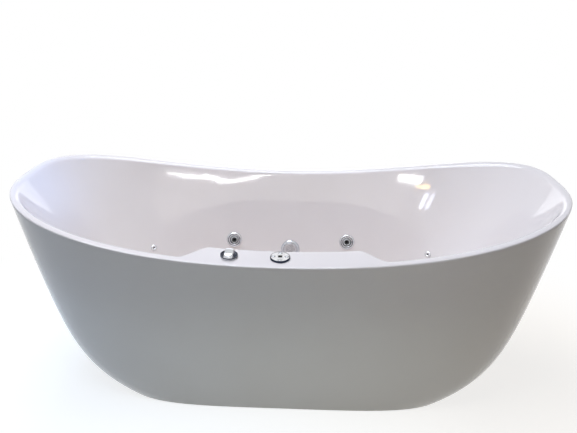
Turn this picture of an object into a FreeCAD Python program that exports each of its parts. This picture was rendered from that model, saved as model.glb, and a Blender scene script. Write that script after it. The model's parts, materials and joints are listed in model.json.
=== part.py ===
import FreeCAD, Part
import math
import os
import re

import Sketcher

# A freestanding double-slipper bath with water jets: an acrylic basin with a control
# deck on its front side, a one-piece apron, and everything that works between the
# two. +X runs along the bath, +Z is up and the deck side faces -Y. The origin is on
# the floor, under the middle of the bath. Sizes are millimetres.

V = FreeCAD.Vector
UP = V(0, 0, 1)
doc = FreeCAD.newDocument("jetted_bathtub")

# ------------------------------------------------------------------ sizes
SIZES = {
    # outer form
    "tub_length": 1700, "rim_half_width": 390, "rim_height_end": 721.5, "rim_height_middle": 604,
    "foot_half_length": 561.5, "foot_half_width": 255, "rim_exponent": 2.87, "foot_exponent": 4.25,
    "end_straight_share": 0.518, "end_flare_power": 7, "side_straight_share": 0.968, "side_flare_power": 18,
    # apron
    "apron_wall": 5, "apron_floor_gap": 3, "apron_flange_width": 20, "apron_flange_thickness": 5,
    # rim
    "lip_height": 8, "glue_gap": 0.3, "rim_outer_roll": 5, "rim_inner_roll": 9,
    "rim_land_side": 25, "rim_land_end": 15,
    # basin
    "basin_wall": 8, "basin_floor_height": 135, "basin_half_length": 470, "basin_half_width": 200,
    "basin_exponent": 2.6, "basin_floor_roll": 60, "backrest_power": 1.1,
    # deck
    "deck_depth": 69, "deck_half_length": 205, "deck_blend": 85, "deck_drop": 332, "deck_margin": 30,
    # base board and frame
    "board_thickness": 18, "board_inset": 12, "tube_size": 30, "tube_wall": 2, "rail_half_spacing": 120,
    "shelf_start": 490, "pump_rail_reach": 632, "cross_member_place": 400, "inner_member_place": 200,
    "middle_member_place": 120,
    "outrigger_reach": 200, "foot_place": 185,
    # feet
    "foot_stud_radius": 6, "foot_stud_length": 78, "foot_pad_radius": 25, "foot_pad_height": 12,
    "foot_pad_edge": 7, "foot_nut_radius": 11, "foot_nut_height": 10, "foot_clearance": 0.1,
    # turning jets
    "jet_place": 220, "jet_height": 350, "front_jet_place": 365,
    "jet_ring_radius": 29.5, "jet_ring_height": 5, "jet_flange_radius": 26, "jet_flange_height": 2,
    "jet_seat_gap": 1, "jet_neck_radius": 22, "jet_neck_bore": 19.5, "jet_ring_tail": 19.2,
    "jet_ball_radius": 14, "jet_ball_gap": 0.3, "jet_ball_depth": 2, "jet_ball_face": 11, "jet_bore": 5.5,
    "jet_nut_radius": 30, "jet_nut_height": 7, "jet_nut_room": 3, "jet_body_radius": 19, "jet_depth": 42,
    "jet_stub_radius": 10, "jet_air_stub_radius": 6, "jet_pipe_depth": 26, "jet_tail_length": 13,
    "jet_tail_room": 2,
    # small jets
    "small_jet_place": 518, "small_jet_height": 347, "small_jet_radius": 11, "small_jet_dome": 3,
    "small_jet_bore": 3, "small_jet_bore_depth": 12, "small_jet_neck": 7, "small_jet_nut_radius": 12,
    "small_jet_nut_height": 5, "small_jet_depth": 34,
    # suction
    "suction_height": 315, "suction_cover_radius": 36, "suction_cover_height": 8, "suction_cover_wall": 3,
    "suction_neck_radius": 26, "suction_nut_radius": 36, "suction_depth": 44, "suction_bore": 19,
    "suction_bore_depth": 14, "suction_hole_radius": 2.6, "suction_stub_radius": 14, "suction_pipe_depth": 30,
    "suction_nut_room": 5,
    # pipes
    "pressure_pipe_radius": 12.5, "pressure_pipe_rise": 50, "suction_pipe_radius": 17,
    "suction_pipe_drop": 87, "air_pipe_radius": 7, "air_pipe_drop": 57, "pipe_end_room": 34,
    "air_end_room": 10, "pipe_socket": 20, "pipe_socket_wall": 2,
    # pump
    "pump_place": 600, "pump_height": 168, "pump_motor_radius": 46, "pump_motor_length": 150,
    "pump_volute_radius": 52, "pump_volute_length": 52, "pump_shaft_radius": 6, "pump_shaft_gap": 0.08,
    "pump_impeller_radius": 38, "pump_fan_radius": 36, "pump_cover_length": 34, "pump_cover_round": 6,
    "pump_cover_eye": 8, "pump_cover_wall": 2, "pump_set_forward": 5, "pump_wall": 4,
    "pump_plate": 8, "pump_vent_length": 18, "pump_vent_width": 4,
    "pump_vent_reach": 14, "pump_fin_height": 6, "pump_fin_thickness": 2.5, "pump_hub_radius": 12,
    "pump_hub_length": 12, "pump_fan_start": 14, "pump_shaft_start": 10, "pump_impeller_gap": 3,
    "pump_impeller_height": 14, "pump_blade_thickness": 2.5, "pump_vane_thickness": 3, "pump_vane_height": 8,
    "pump_outlet_place": 13, "pump_outlet_inset": 16, "pump_outlet_rise": 12, "pump_chamber_length": 24,
    "pump_neck_start": 34,
    "shelf_thickness": 3, "pump_pad_height": 8, "pump_pad_radius": 8, "pump_pad_across": 22,
    "pump_pad_along": 38, "saddle_width": 76, "saddle_length": 104, "saddle_height": 30,
    # deck controls
    "knob_place": 148, "knob_inset": 47.7, "knob_radius": 24, "knob_height": 15, "knob_tail": 12,
    "knob_crown": 12, "knob_scoop_radius": 22, "knob_grip": 12, "knob_skirt": 5, "valve_neck_radius": 15,
    "valve_flange_radius": 20, "valve_flange_height": 2, "valve_depth": 46, "valve_foot": 14,
    "valve_nut_radius": 24, "deck_nut_height": 6, "keypad_place": 8, "keypad_inset": 51.7,
    "keypad_radius": 28, "keypad_height": 6, "keypad_bevel": 3, "keypad_neck_radius": 20, "keypad_depth": 30,
    "keypad_nut_radius": 27, "button_radius": 4.5, "button_circle": 18.5, "button_height": 4,
    "button_travel": 1, "button_proud": 0.6, "window_length": 14, "window_width": 12,
    "window_thickness": 1.5, "control_gap": 0.3, "knob_stem": 6, "shaft_fit": 0.08,
    # waste and overflow
    "drain_flange_radius": 35, "drain_tail_radius": 22, "drain_wall": 4, "drain_edge": 1.5, "drain_bar": 4,
    "drain_bar_height": 6, "drain_bar_depth": 34, "drain_hub_height": 14, "plug_radius": 31, "plug_height": 5,
    "plug_edge": 2, "plug_lift": 3.3, "plug_stem_radius": 5, "plug_stem_length": 52, "waste_radius": 20,
    "waste_height": 40, "waste_outlet_height": 12, "tee_radius": 26, "tee_length": 56, "tee_step": 6,
    "tee_branch_rise": 12, "tee_branch_length": 45, "overflow_height": 520, "overflow_radius": 32,
    "overflow_pipe_radius": 14, "overflow_wall": 4, "overflow_depth": 38, "overflow_bore_depth": 26,
    "overflow_edge": 3, "spigot_radius": 8, "spigot_length": 34, "spigot_place": 10,
    # electrics
    "box_length": 120, "box_width": 150, "box_height": 55, "box_inset": 10, "gland_height": 16,
    "gland_place": 35, "gland_wall": 5, "cable_radius": 3.5, "cable_rise": 70,
}
sheet = doc.addObject("Spreadsheet::Sheet", "Sizes")
for row, (alias, number) in enumerate(SIZES.items(), start=1):
    sheet.set(f"A{row}", alias)
    sheet.set(f"B{row}", str(number))
    sheet.setAlias(f"B{row}", alias)
doc.recompute()


class Sizes:
    """Reads a size back from the sheet, as a number."""
    def __getattr__(self, alias):
        return float(getattr(sheet, alias))


size = Sizes()


def bound(text):
    """An expression in which each size's alias points at its cell."""
    return re.sub(r"[a-z][a-z_]+", lambda found: "Sizes." + found.group(), text)


def number(text):
    """The value of a sum such as 'jet_depth + jet_flange_height - 2'."""
    total, sign = 0.0, 1
    for word in text.replace("+", " + ").replace("-", " - ").split():
        if word in "+-":
            sign = 1 if word == "+" else -1
            continue
        product = 1.0
        for factor in word.split("*"):
            product *= float(getattr(sheet, factor)) if factor[0].isalpha() else float(factor)
        total += sign * product
        sign = 1
    return total


# ------------------------------------------------------------------ forms of the bath
half_length = size.tub_length / 2
rim_rise = size.rim_height_end - size.rim_height_middle
rim_radius = (half_length**2 + rim_rise**2) / (2 * rim_rise)


def rim_height(x):
    """The rim dips in one arc from end to end."""
    return size.rim_height_middle + rim_radius - math.sqrt(rim_radius**2 - x**2)


def flared(top, foot, straight_share, power, z):
    """A half size that grows from the foot to the top, quickest near the floor."""
    left = 1 - z / size.rim_height_end
    curved_share = 1 - straight_share
    return top - (top - foot) * (straight_share * left + curved_share * max(0, left) ** power)


def outer_half_length(z):
    return flared(half_length, size.foot_half_length, size.end_straight_share, size.end_flare_power, z)


def outer_half_width(z):
    return flared(size.rim_half_width, size.foot_half_width, size.side_straight_share,
                  size.side_flare_power, z)


def outer_exponent(z):
    return size.foot_exponent + (size.rim_exponent - size.foot_exponent) * z / size.rim_height_end


def basin_share(z):
    """0 at the basin's floor, 1 at the height of the high ends."""
    return (z - size.basin_floor_height) / (size.rim_height_end - size.basin_floor_height)


def inner_half_length(z):
    top = half_length - size.rim_land_end
    return top - (top - size.basin_half_length) * max(0, 1 - basin_share(z)) ** size.backrest_power


side_top = outer_half_width(size.rim_height_middle) - size.rim_land_side
side_slope = (side_top - size.basin_half_width) / (size.rim_height_middle - size.basin_floor_height)


def inner_half_width(z):
    return side_top - side_slope * (size.rim_height_middle - z)


def inner_exponent(z):
    return size.basin_exponent + (size.rim_exponent - size.basin_exponent) * basin_share(z)


def deck_reach(z):
    """How far the deck's face stands in from the plain side wall."""
    return size.deck_depth * max(0, 1 + (z - size.rim_height_middle) / size.deck_drop) ** 1.5


def deck_share(x):
    """1 along the deck, easing to 0 past its ends in an S."""
    left = min(1, max(0, (size.deck_half_length + size.deck_blend - abs(x)) / size.deck_blend))
    return left * left * (3 - 2 * left)


OUTER = (outer_half_length, outer_half_width, outer_exponent)
INNER = (inner_half_length, inner_half_width, inner_exponent)
SIDE_STATIONS = 22
DECK_STATIONS = 22
deck_end = size.deck_half_length + size.deck_blend + size.deck_margin


def oval_point(form, height, grow, angle):
    """The point of a form's oval at an angle, at the height that height(x) gives there."""
    x = 0
    for _ in range(12):
        z = height(x)
        length, width, exponent = form[0](z) + grow, form[1](z) + grow, form[2](z)
        reach = (abs(math.cos(angle)) ** exponent + abs(math.sin(angle)) ** exponent) ** (-1 / exponent)
        x = length * math.cos(angle) * reach
    return V(x, width * math.sin(angle) * reach, height(x))


def front_point(form, height, grow, deck, x):
    z = height(x)
    length, width, exponent = form[0](z) + grow, form[1](z) + grow, form[2](z)
    inward = deck_reach(z) * deck_share(x) if deck else 0
    return V(x, inward - width * (1 - abs(x / length) ** exponent) ** (1 / exponent), z)


def oval(form, height, grow=0, deck=False):
    """The points of one closed curve round the bath, close together along the deck."""
    z = height(deck_end)
    length, exponent = form[0](z) + grow, form[2](z)
    start = math.atan2((1 - (deck_end / length) ** exponent) ** (1 / exponent), deck_end / length)
    sweep = math.pi + 2 * start
    round_ends = [oval_point(form, height, grow, sweep * i / SIDE_STATIONS - start)
                  for i in range(1, SIDE_STATIONS)]
    front = [front_point(form, height, grow, deck, deck_end * (2 * i / DECK_STATIONS - 1))
             for i in range(DECK_STATIONS + 1)]
    return round_ends + front


def chord_parameters(points):
    """Where a curve passes each point: shared by all curves, so that skins stay light."""
    marks = [0.0]
    for here, there in zip(points, points[1:] + points[:1]):
        marks.append(marks[-1] + here.distanceToPoint(there))
    return marks


marks = chord_parameters(oval(OUTER, rim_height))


def ring(form, height, grow=0, deck=False):
    curve = Part.BSplineCurve()
    curve.interpolate(Points=oval(form, height, grow, deck), PeriodicFlag=True, Parameters=marks)
    return Part.Wire([curve.toShape()])


def level(z):
    return lambda x: z


def under_rim(drop):
    return lambda x: rim_height(x) - drop


def between(low, drop, share):
    return lambda x: low + (rim_height(x) - drop - low) * share


def quarter_turn(steps):
    return [math.pi / 2 * i / steps for i in range(steps + 1)]


def skin(rings):
    """The faces from each curve to the next."""
    return Part.makeLoft(rings, False, True).Faces


def sewn(faces):
    shell = Part.Shell(faces)
    shell.sewShape()
    solid = Part.Solid(shell)
    if solid.Volume < 0:
        solid.reverse()
    return solid


def feature(name, shape):
    made = doc.addObject("Part::Feature", name)
    made.Shape = shape
    made.Label = name
    return made


# ------------------------------------------------------------------ places on the inner wall
def wall_gauge(x, y, z):
    """Below 0 inside the basin, 0 on its plain wall."""
    exponent = inner_exponent(z)
    return abs(x / inner_half_length(z)) ** exponent + abs(y / inner_half_width(z)) ** exponent - 1


def wall_point(x, z, side, deck=False):
    point = front_point(INNER, level(z), 0, deck, x)
    return V(point.x, -side * point.y, point.z)


def wall_inward(point):
    step = 0.5
    slope = V(*(wall_gauge(*(point + axis * step)) - wall_gauge(*(point - axis * step))
                for axis in (V(1, 0, 0), V(0, 1, 0), UP)))
    return slope.normalize() * -1


def facing(point, outward, along=V(1, 0, 0)):
    """A placement at a point whose own Z axis points outward and whose X axis lies along."""
    third = outward.cross(along).normalize()
    return FreeCAD.Placement(point, FreeCAD.Rotation(third.cross(outward), third, outward, "ZXY"))


def on_wall(x, z, side):
    point = wall_point(x, z, side)
    return facing(point, wall_inward(point))


def on_deck_face(z):
    """The middle of the deck's inner face, at a height."""
    step = 1.0
    above, below = (front_point(INNER, level(z + shift), 0, True, 0) for shift in (step, -step))
    return facing(wall_point(0, z, -1, deck=True), V(1, 0, 0).cross(above - below).normalize() * -1)


def on_rim(x, y):
    slope = x / math.sqrt(rim_radius**2 - x**2)
    return facing(V(x, y, rim_height(x)), V(-slope, 0, 1).normalize())


def sunk(place, depth):
    """The same placement, moved back along its own Z axis."""
    return place.multiply(FreeCAD.Placement(V(0, 0, -depth), FreeCAD.Rotation()))


# ------------------------------------------------------------------ ways to make pieces
NODES = {}


def node(name, made):
    made.Label = name
    NODES[name] = made
    return made


def origin_plane(body, role):
    return next(item for item in body.Origin.OriginFeatures if item.Role == role)


def profile_sketch(body, corners, plane="XZ_Plane"):
    """A closed outline whose corners are each held by two bound sizes."""
    sketch = body.newObject("Sketcher::SketchObject", body.Name + "_outline")
    sketch.AttachmentSupport = [(origin_plane(body, plane), "")]
    sketch.MapMode = "FlatFace"
    places = [V(number(across), number(along), 0) for across, along in corners]
    for here, there in zip(places, places[1:] + places[:1]):
        sketch.addGeometry(Part.LineSegment(here, there), False)
    count = len(corners)
    for i in range(count):
        sketch.addConstraint(Sketcher.Constraint("Coincident", i, 2, (i + 1) % count, 1))
    for i, texts in enumerate(corners):
        for kind, text, value, axis in (("DistanceX", texts[0], places[i].x, -2),
                                        ("DistanceY", texts[1], places[i].y, -1)):
            if abs(value) < 1e-9:
                sketch.addConstraint(Sketcher.Constraint("PointOnObject", i, 1, axis))
                continue
            index = sketch.addConstraint(Sketcher.Constraint(kind, -1, 1, i, 1, value))
            sketch.setExpression(f"Constraints[{index}]", bound(text))
    return sketch


def turned(name, corners):
    """A body turned about its own Z axis from an outline of (radius, height) corners."""
    body = doc.addObject("PartDesign::Body", name)
    sketch = profile_sketch(body, corners)
    spin = body.newObject("PartDesign::Revolution", name + "_turn")
    spin.Profile = sketch
    spin.ReferenceAxis = (sketch, ["V_Axis"])
    spin.Angle = 360
    body.Tip = spin
    doc.recompute()
    return body


def cylinder(name, radius, height, base=V(), direction=UP):
    made = doc.addObject("Part::Cylinder", name)
    made.setExpression("Radius", bound(radius))
    made.setExpression("Height", bound(height))
    made.Placement = FreeCAD.Placement(base, FreeCAD.Rotation(UP, direction))
    return made


def sphere(name, radius, centre=V()):
    made = doc.addObject("Part::Sphere", name)
    made.setExpression("Radius", bound(radius))
    made.Placement.Base = centre
    return made


def block(name, sizes, corner):
    made = doc.addObject("Part::Box", name)
    for side, text in zip(("Length", "Width", "Height"), sizes):
        made.setExpression(side, bound(text))
    made.Placement.Base = corner
    return made


def joined(name, pieces):
    made = doc.addObject("Part::MultiFuse", name)
    made.Shapes = pieces
    return made


def cut(name, base, tools):
    made = doc.addObject("Part::Cut", name)
    made.Base = base
    made.Tool = tools[0] if len(tools) == 1 else joined(name + "_tools", tools)
    return made


def grouped(name, pieces):
    made = doc.addObject("Part::Compound", name)
    made.Links = pieces
    return made


def moved(made, place):
    made.Placement = place.multiply(made.Placement)
    return made


BEND_SHARE = 0.45


def tube(points, radius):
    """A rod of straight runs joined by tangent bends, each as wide as its two runs allow."""
    ring, last = Part.makeCircle(radius, points[0], points[1] - points[0]), points[0]
    faces = [Part.Face(Part.Wire(ring))]
    for before, corner, after in zip(points, points[1:], points[2:]):
        into, away = corner - before, after - corner
        turn = into.getAngle(away)
        cut_back = BEND_SHARE * min(into.Length, away.Length)
        start = corner - into.normalize() * cut_back
        end = corner + away.normalize() * cut_back
        bend = cut_back / math.tan(turn / 2)
        middle = corner + (away - into).normalize() * math.hypot(bend, cut_back)
        spin = (middle, into.cross(away), math.degrees(turn))
        faces += [ring.extrude(start - last), ring.translated(start - last).revolve(*spin)]
        ring, last = ring.translated(start - last).rotated(*spin), end
    faces += [ring.extrude(points[-1] - last), Part.Face(Part.Wire(ring.translated(points[-1] - last)))]
    return sewn(faces)


def behind_wall(angle, z, depth):
    """A point at a depth behind the plain inner wall, at an angle round the bath."""
    point = oval_point(INNER, level(z), 0, angle)
    inward = wall_inward(point)
    inward.z = 0
    return point - inward.normalize() * depth


# ------------------------------------------------------------------ the two shells
floor_top = size.basin_floor_height
floor_under = floor_top - size.basin_wall
board_under = floor_under - size.board_thickness
tube_under = board_under - size.tube_size
WALL_LEVELS = 10
APRON_LEVELS = 12


def bowl(grow, floor, roll, drop):
    """Curves of a basin surface, from its floor up to a drop under the rim."""
    rings = [ring(INNER, level(floor + roll * (1 - math.cos(turn))), grow - roll * (1 - math.sin(turn)),
                  True) for turn in quarter_turn(4)]
    rings += [ring(INNER, between(floor + roll, drop, i / WALL_LEVELS), grow, True)
              for i in range(1, WALL_LEVELS + 1)]
    return rings


def rim_roll(form, radius, grow, deck):
    """Curves from a vertical wall over a quarter round on to the rim's flat top."""
    return [ring(form, under_rim(radius * (1 - math.sin(turn))), grow * (1 - math.cos(turn)), deck)
            for turn in quarter_turn(3)]


def make_basin():
    inside = bowl(0, floor_top, size.basin_floor_roll, size.rim_inner_roll)
    inside += rim_roll(INNER, size.rim_inner_roll, size.rim_inner_roll, True)[1:]
    outside = rim_roll(OUTER, size.rim_outer_roll, -size.rim_outer_roll, False)
    lip_edge = ring(OUTER, under_rim(size.lip_height))
    back = bowl(size.basin_wall, floor_under, size.basin_floor_roll + size.basin_wall, size.lip_height)
    faces = skin(inside + outside[::-1] + [lip_edge] + back[::-1])
    return sewn(faces + [Part.Face(inside[0]), Part.Face(back[0])])


def make_apron():
    foot = size.apron_floor_gap
    flange_top = foot + size.apron_flange_thickness
    flange_edge = -size.apron_wall - size.apron_flange_width
    top = size.lip_height + size.glue_gap
    shares = [(i / APRON_LEVELS) ** 1.5 for i in range(APRON_LEVELS + 1)]
    outside = [ring(OUTER, between(foot, top, share)) for share in shares]
    inside = [ring(OUTER, between(flange_top, top, share), -size.apron_wall) for share in shares]
    flange = [ring(OUTER, level(flange_top), flange_edge), ring(OUTER, level(foot), flange_edge)]
    return sewn(skin(outside + inside[::-1] + flange + [outside[0]]))


JETS = {
    "jet_back_left": (-size.jet_place, 1), "jet_back_right": (size.jet_place, 1),
    "jet_front_left": (-size.front_jet_place, -1), "jet_front_right": (size.front_jet_place, -1),
}
SMALL_JETS = {
    "small_jet_back_left": (-size.small_jet_place, 1), "small_jet_back_right": (size.small_jet_place, 1),
    "small_jet_front_left": (-size.small_jet_place, -1), "small_jet_front_right": (size.small_jet_place, -1),
}
jet_seats = {name: on_wall(x, size.jet_height, side) for name, (x, side) in JETS.items()}
small_seats = {name: on_wall(x, size.small_jet_height, side) for name, (x, side) in SMALL_JETS.items()}
suction_seat = on_wall(0, size.suction_height, 1)
overflow_seat = on_deck_face(size.overflow_height)
deck_edge = -outer_half_width(size.rim_height_middle)
knob_seat = on_rim(-size.knob_place, deck_edge + size.knob_inset)
keypad_seat = on_rim(-size.keypad_place, deck_edge + size.keypad_inset)
pressure_height = max(size.jet_height, size.small_jet_height) + size.pressure_pipe_rise
air_height = min(size.jet_height, size.small_jet_height) - size.air_pipe_drop
suction_height = size.suction_height - size.suction_pipe_drop
HOLE_ROOM = 0.3


def hole(place, radius, reach=30):
    return Part.makeCylinder(radius + HOLE_ROOM, 2 * reach, place.multVec(V(0, 0, -reach)),
                             place.Rotation.multVec(UP))


holes = [hole(place, size.jet_neck_radius) for place in jet_seats.values()]
holes += [hole(place, size.small_jet_neck) for place in small_seats.values()]
holes += [hole(suction_seat, size.suction_neck_radius),
          hole(overflow_seat, size.overflow_pipe_radius + size.overflow_wall)]
holes += [hole(knob_seat, size.valve_neck_radius, size.lip_height + 4),
          hole(keypad_seat, size.keypad_neck_radius, size.lip_height + 4)]
holes += [Part.makeCylinder(size.drain_tail_radius + HOLE_ROOM, 40, V(0, 0, floor_top - 20))]
node("basin_shell", feature("basin_shell", make_basin().cut(holes)))
node("outer_apron", feature("outer_apron", make_apron()))

# ------------------------------------------------------------------ base board and steel frame
board_outline = ring(INNER, level(floor_under), -size.basin_floor_roll - size.board_inset)
board = Part.Face(board_outline).extrude(V(0, 0, -size.board_thickness))
board = board.cut(Part.makeCylinder(size.tee_radius + 4, 60, V(0, 0, floor_under - 40)))
node("base_board", feature("base_board", board))


def square_tube(start, along, length):
    """A hollow square tube whose near lower corner is at start, along X or Y."""
    sides = [size.tube_size, size.tube_size, size.tube_size]
    sides[along] = length
    outer = Part.makeBox(*sides, start)
    wall = size.tube_wall
    inner_sides = [side - 2 * wall for side in sides]
    inner_sides[along] = length
    shift = [wall, wall, wall]
    shift[along] = 0
    return outer, Part.makeBox(*inner_sides, start + V(*shift))


FOOT_MEMBERS = (-size.cross_member_place, size.middle_member_place, size.cross_member_place)
FEET = [(x, side * size.foot_place) for x in FOOT_MEMBERS for side in (-1, 1)]


def make_frame():
    half = size.tube_size / 2
    tubes = [square_tube(V(-size.pump_rail_reach, side * size.rail_half_spacing - half, tube_under), 0,
                         2 * size.pump_rail_reach) for side in (-1, 1)]
    reach = size.rail_half_spacing - half
    tubes += [square_tube(V(x - half, -reach, tube_under), 1, 2 * reach)
              for x in (*FOOT_MEMBERS, -size.inner_member_place)]
    arm_start = size.rail_half_spacing + half
    arm = size.outrigger_reach - arm_start
    tubes += [square_tube(V(x - half, y, tube_under), 1, arm)
              for x in FOOT_MEMBERS for y in (arm_start, -arm_start - arm)]
    solid = [outer.cut(inner) for outer, inner in tubes]
    frame = solid[0].fuse(solid[1:])
    stud_room = size.foot_stud_radius + size.foot_clearance
    return frame.cut([Part.makeCylinder(stud_room, 2 * size.tube_wall, V(x, y, tube_under - 1))
                      for x, y in FEET])


node("support_frame", feature("support_frame", make_frame()))
for name, start in (("pump_shelf", size.shelf_start), ("control_shelf", -size.pump_rail_reach)):
    shelf_size = ("pump_rail_reach - shelf_start", "rail_half_spacing*2 + tube_size", "shelf_thickness")
    shelf_corner = V(start, -size.rail_half_spacing - size.tube_size / 2, board_under)
    node(name, block(name, shelf_size, shelf_corner))

FOOT_NAMES = ("foot_left_front", "foot_left_back", "foot_middle_front", "foot_middle_back",
              "foot_right_front", "foot_right_back")
for name, (x, y) in zip(FOOT_NAMES, FEET):
    foot = turned(name, [("0", "0"), ("foot_pad_radius", "0"), ("foot_pad_radius", "foot_pad_edge"),
                         ("foot_stud_radius*2", "foot_pad_height"),
                         ("foot_stud_radius", "foot_pad_height"),
                         ("foot_stud_radius", "foot_pad_height + foot_stud_length"),
                         ("0", "foot_pad_height + foot_stud_length")])
    foot.Placement.Base = V(x, y, 0)
    node(name, foot)


def hexagon(radius, height, bore, place):
    corners = [V(radius * math.cos(turn), radius * math.sin(turn), 0)
               for turn in (i * math.pi / 3 for i in range(7))]
    nut = Part.Face(Part.makePolygon(corners)).extrude(V(0, 0, height))
    nut = nut.cut(Part.makeCylinder(bore, height * 3, V(0, 0, -height)))
    nut.Placement = place
    return nut


nut_bore = size.foot_stud_radius + size.foot_clearance
foot_nuts = [hexagon(size.foot_nut_radius, size.foot_nut_height, nut_bore,
                     FreeCAD.Placement(V(x, y, tube_under - size.foot_nut_height), FreeCAD.Rotation()))
             for x, y in FEET]
node("foot_lock_nuts", feature("foot_lock_nuts", Part.makeCompound(foot_nuts)))


# ------------------------------------------------------------------ turning jets
def spoke(place, depth, direction, length, radius):
    """A round stub that leaves a fitting's axis sideways, at a depth behind the wall."""
    return Part.makeCylinder(radius, length, place.multVec(V(0, 0, -depth)),
                             place.Rotation.multVec(direction))


def meeting(place, depth, direction, height):
    """Where a stub's axis reaches a height."""
    origin = place.multVec(V(0, 0, -depth))
    way = place.Rotation.multVec(direction)
    return origin + way * ((height - origin.z) / way.z)


DOWN_WALL = V(0, -1, 0)
UP_WALL = V(0, 1, 0)


def wall_down(place):
    """The way down the wall in a fitting's own frame."""
    return DOWN_WALL if place.Rotation.multVec(DOWN_WALL).z < 0 else UP_WALL


RING_SEAT = "jet_tail_length + jet_seat_gap + jet_flange_height + glue_gap"
NECK_FOOT = "jet_depth - basin_wall - jet_nut_height - jet_nut_room"
FLANGE_FOOT = "jet_depth + jet_seat_gap"
pressure_meets, air_meets = {}, {}


def jet_stubs(place):
    down = wall_down(place)
    water = meeting(place, size.jet_pipe_depth, down * -1, pressure_height)
    air = meeting(place, size.jet_pipe_depth, down, air_height)
    root = place.multVec(V(0, 0, -size.jet_pipe_depth))
    water_length = (water - root).Length - size.pipe_socket
    air_length = (air - root).Length - size.pipe_socket / 2
    stubs = [spoke(place, size.jet_pipe_depth, down * -1, water_length, size.jet_stub_radius),
             spoke(place, size.jet_pipe_depth, down, air_length, size.jet_air_stub_radius)]
    return stubs, water, air


for name, place in jet_seats.items():
    core = turned(name + "_core", [
        ("0", "0"), ("jet_body_radius", "0"), ("jet_body_radius", NECK_FOOT), ("jet_neck_radius", NECK_FOOT),
        ("jet_neck_radius", FLANGE_FOOT), ("jet_flange_radius", FLANGE_FOOT),
        ("jet_flange_radius", FLANGE_FOOT + " + jet_flange_height"),
        ("0", FLANGE_FOOT + " + jet_flange_height")])
    core.Placement = sunk(place, size.jet_depth)
    doc.recompute()
    stubs, pressure_meets[name], air_meets[name] = jet_stubs(place)
    throat_foot = place.multVec(V(0, 0, -size.jet_tail_length - size.jet_tail_room))
    throat = Part.makeCylinder(size.jet_neck_bore, size.jet_depth, throat_foot,
                               place.Rotation.multVec(UP))
    node(name + "_body", feature(name + "_body", core.Shape.fuse(stubs).cut(throat)))
    ring_base = turned(name + "_ring_blank", [
        ("jet_ball_radius - 5", "0"), ("jet_ring_tail", "0"), ("jet_ring_tail", RING_SEAT),
        ("jet_ring_radius", RING_SEAT), ("jet_ring_radius", RING_SEAT + " + 2"),
        ("jet_ring_radius - 3", RING_SEAT + " + jet_ring_height"),
        ("jet_ring_radius - 7", RING_SEAT + " + jet_ring_height"),
        ("jet_ring_radius - 8", RING_SEAT + " + jet_ring_height - 1"),
        ("jet_ring_radius - 9", RING_SEAT + " + jet_ring_height"),
        ("jet_ball_radius - 5", RING_SEAT + " + jet_ring_height")])
    ring_made = cut(name + "_ring", ring_base, [sphere(name + "_socket", "jet_ball_radius + jet_ball_gap",
                                                       V(0, 0, size.jet_tail_length - size.jet_ball_depth))])
    ring_made.Placement = sunk(place, size.jet_tail_length)
    node(name + "_ring", ring_made)
    ball = sphere(name + "_ball", "jet_ball_radius")
    trim, face = size.jet_ball_radius, size.jet_ball_face
    trim_box = ("jet_ball_radius*2", "jet_ball_radius*2", "jet_ball_radius")
    flats = [block(name + "_face", trim_box, V(-trim, -trim, face)),
             block(name + "_tail", trim_box, V(-trim, -trim, -face - trim)),
             cylinder(name + "_bore", "jet_bore", "jet_ball_radius*4", V(0, 0, -2 * trim))]
    nozzle = cut(name + "_nozzle", ball, flats)
    nozzle.Placement = sunk(place, size.jet_ball_depth)
    node(name + "_nozzle", nozzle)

SMALL_NECK_FOOT = "small_jet_depth - basin_wall - small_jet_nut_height - jet_nut_room"
SMALL_FLANGE_FOOT = "small_jet_depth + jet_seat_gap"
for name, place in small_seats.items():
    core = turned(name + "_core", [
        ("0", "0"), ("small_jet_neck + 3", "0"), ("small_jet_neck + 3", SMALL_NECK_FOOT),
        ("small_jet_neck", SMALL_NECK_FOOT), ("small_jet_neck", SMALL_FLANGE_FOOT),
        ("small_jet_radius", SMALL_FLANGE_FOOT), ("small_jet_radius", SMALL_FLANGE_FOOT + " + 1"),
        ("small_jet_radius - 3", SMALL_FLANGE_FOOT + " + small_jet_dome"),
        ("small_jet_bore", SMALL_FLANGE_FOOT + " + small_jet_dome"),
        ("small_jet_bore", "small_jet_depth - small_jet_bore_depth"),
        ("0", "small_jet_depth - small_jet_bore_depth")])
    core.Placement = sunk(place, size.small_jet_depth)
    doc.recompute()
    up = wall_down(place) * -1
    water = meeting(place, size.jet_pipe_depth, up, pressure_height)
    root = place.multVec(V(0, 0, -size.jet_pipe_depth))
    stub_length = (water - root).Length - size.pipe_socket
    stub = spoke(place, size.jet_pipe_depth, up, stub_length, size.small_jet_neck)
    pressure_meets[name] = water
    node(name, feature(name, core.Shape.fuse(stub)))


def nut_ring(place, outer, inner, height, seat):
    """A round lock nut behind the wall."""
    nut = Part.makeCylinder(outer, height).cut(Part.makeCylinder(inner, 3 * height, V(0, 0, -height)))
    nut.Placement = sunk(place, seat + height)
    return nut


nut_seat = size.basin_wall + size.glue_gap
wall_nuts = [nut_ring(place, size.jet_nut_radius, size.jet_neck_radius, size.jet_nut_height, nut_seat)
             for place in jet_seats.values()]
wall_nuts += [nut_ring(place, size.small_jet_nut_radius, size.small_jet_neck, size.small_jet_nut_height,
                       nut_seat) for place in small_seats.values()]
wall_nuts.append(nut_ring(suction_seat, size.suction_nut_radius, size.suction_neck_radius,
                          size.jet_nut_height, nut_seat))
node("wall_lock_nuts", feature("wall_lock_nuts", Part.makeCompound(wall_nuts)))

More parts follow.
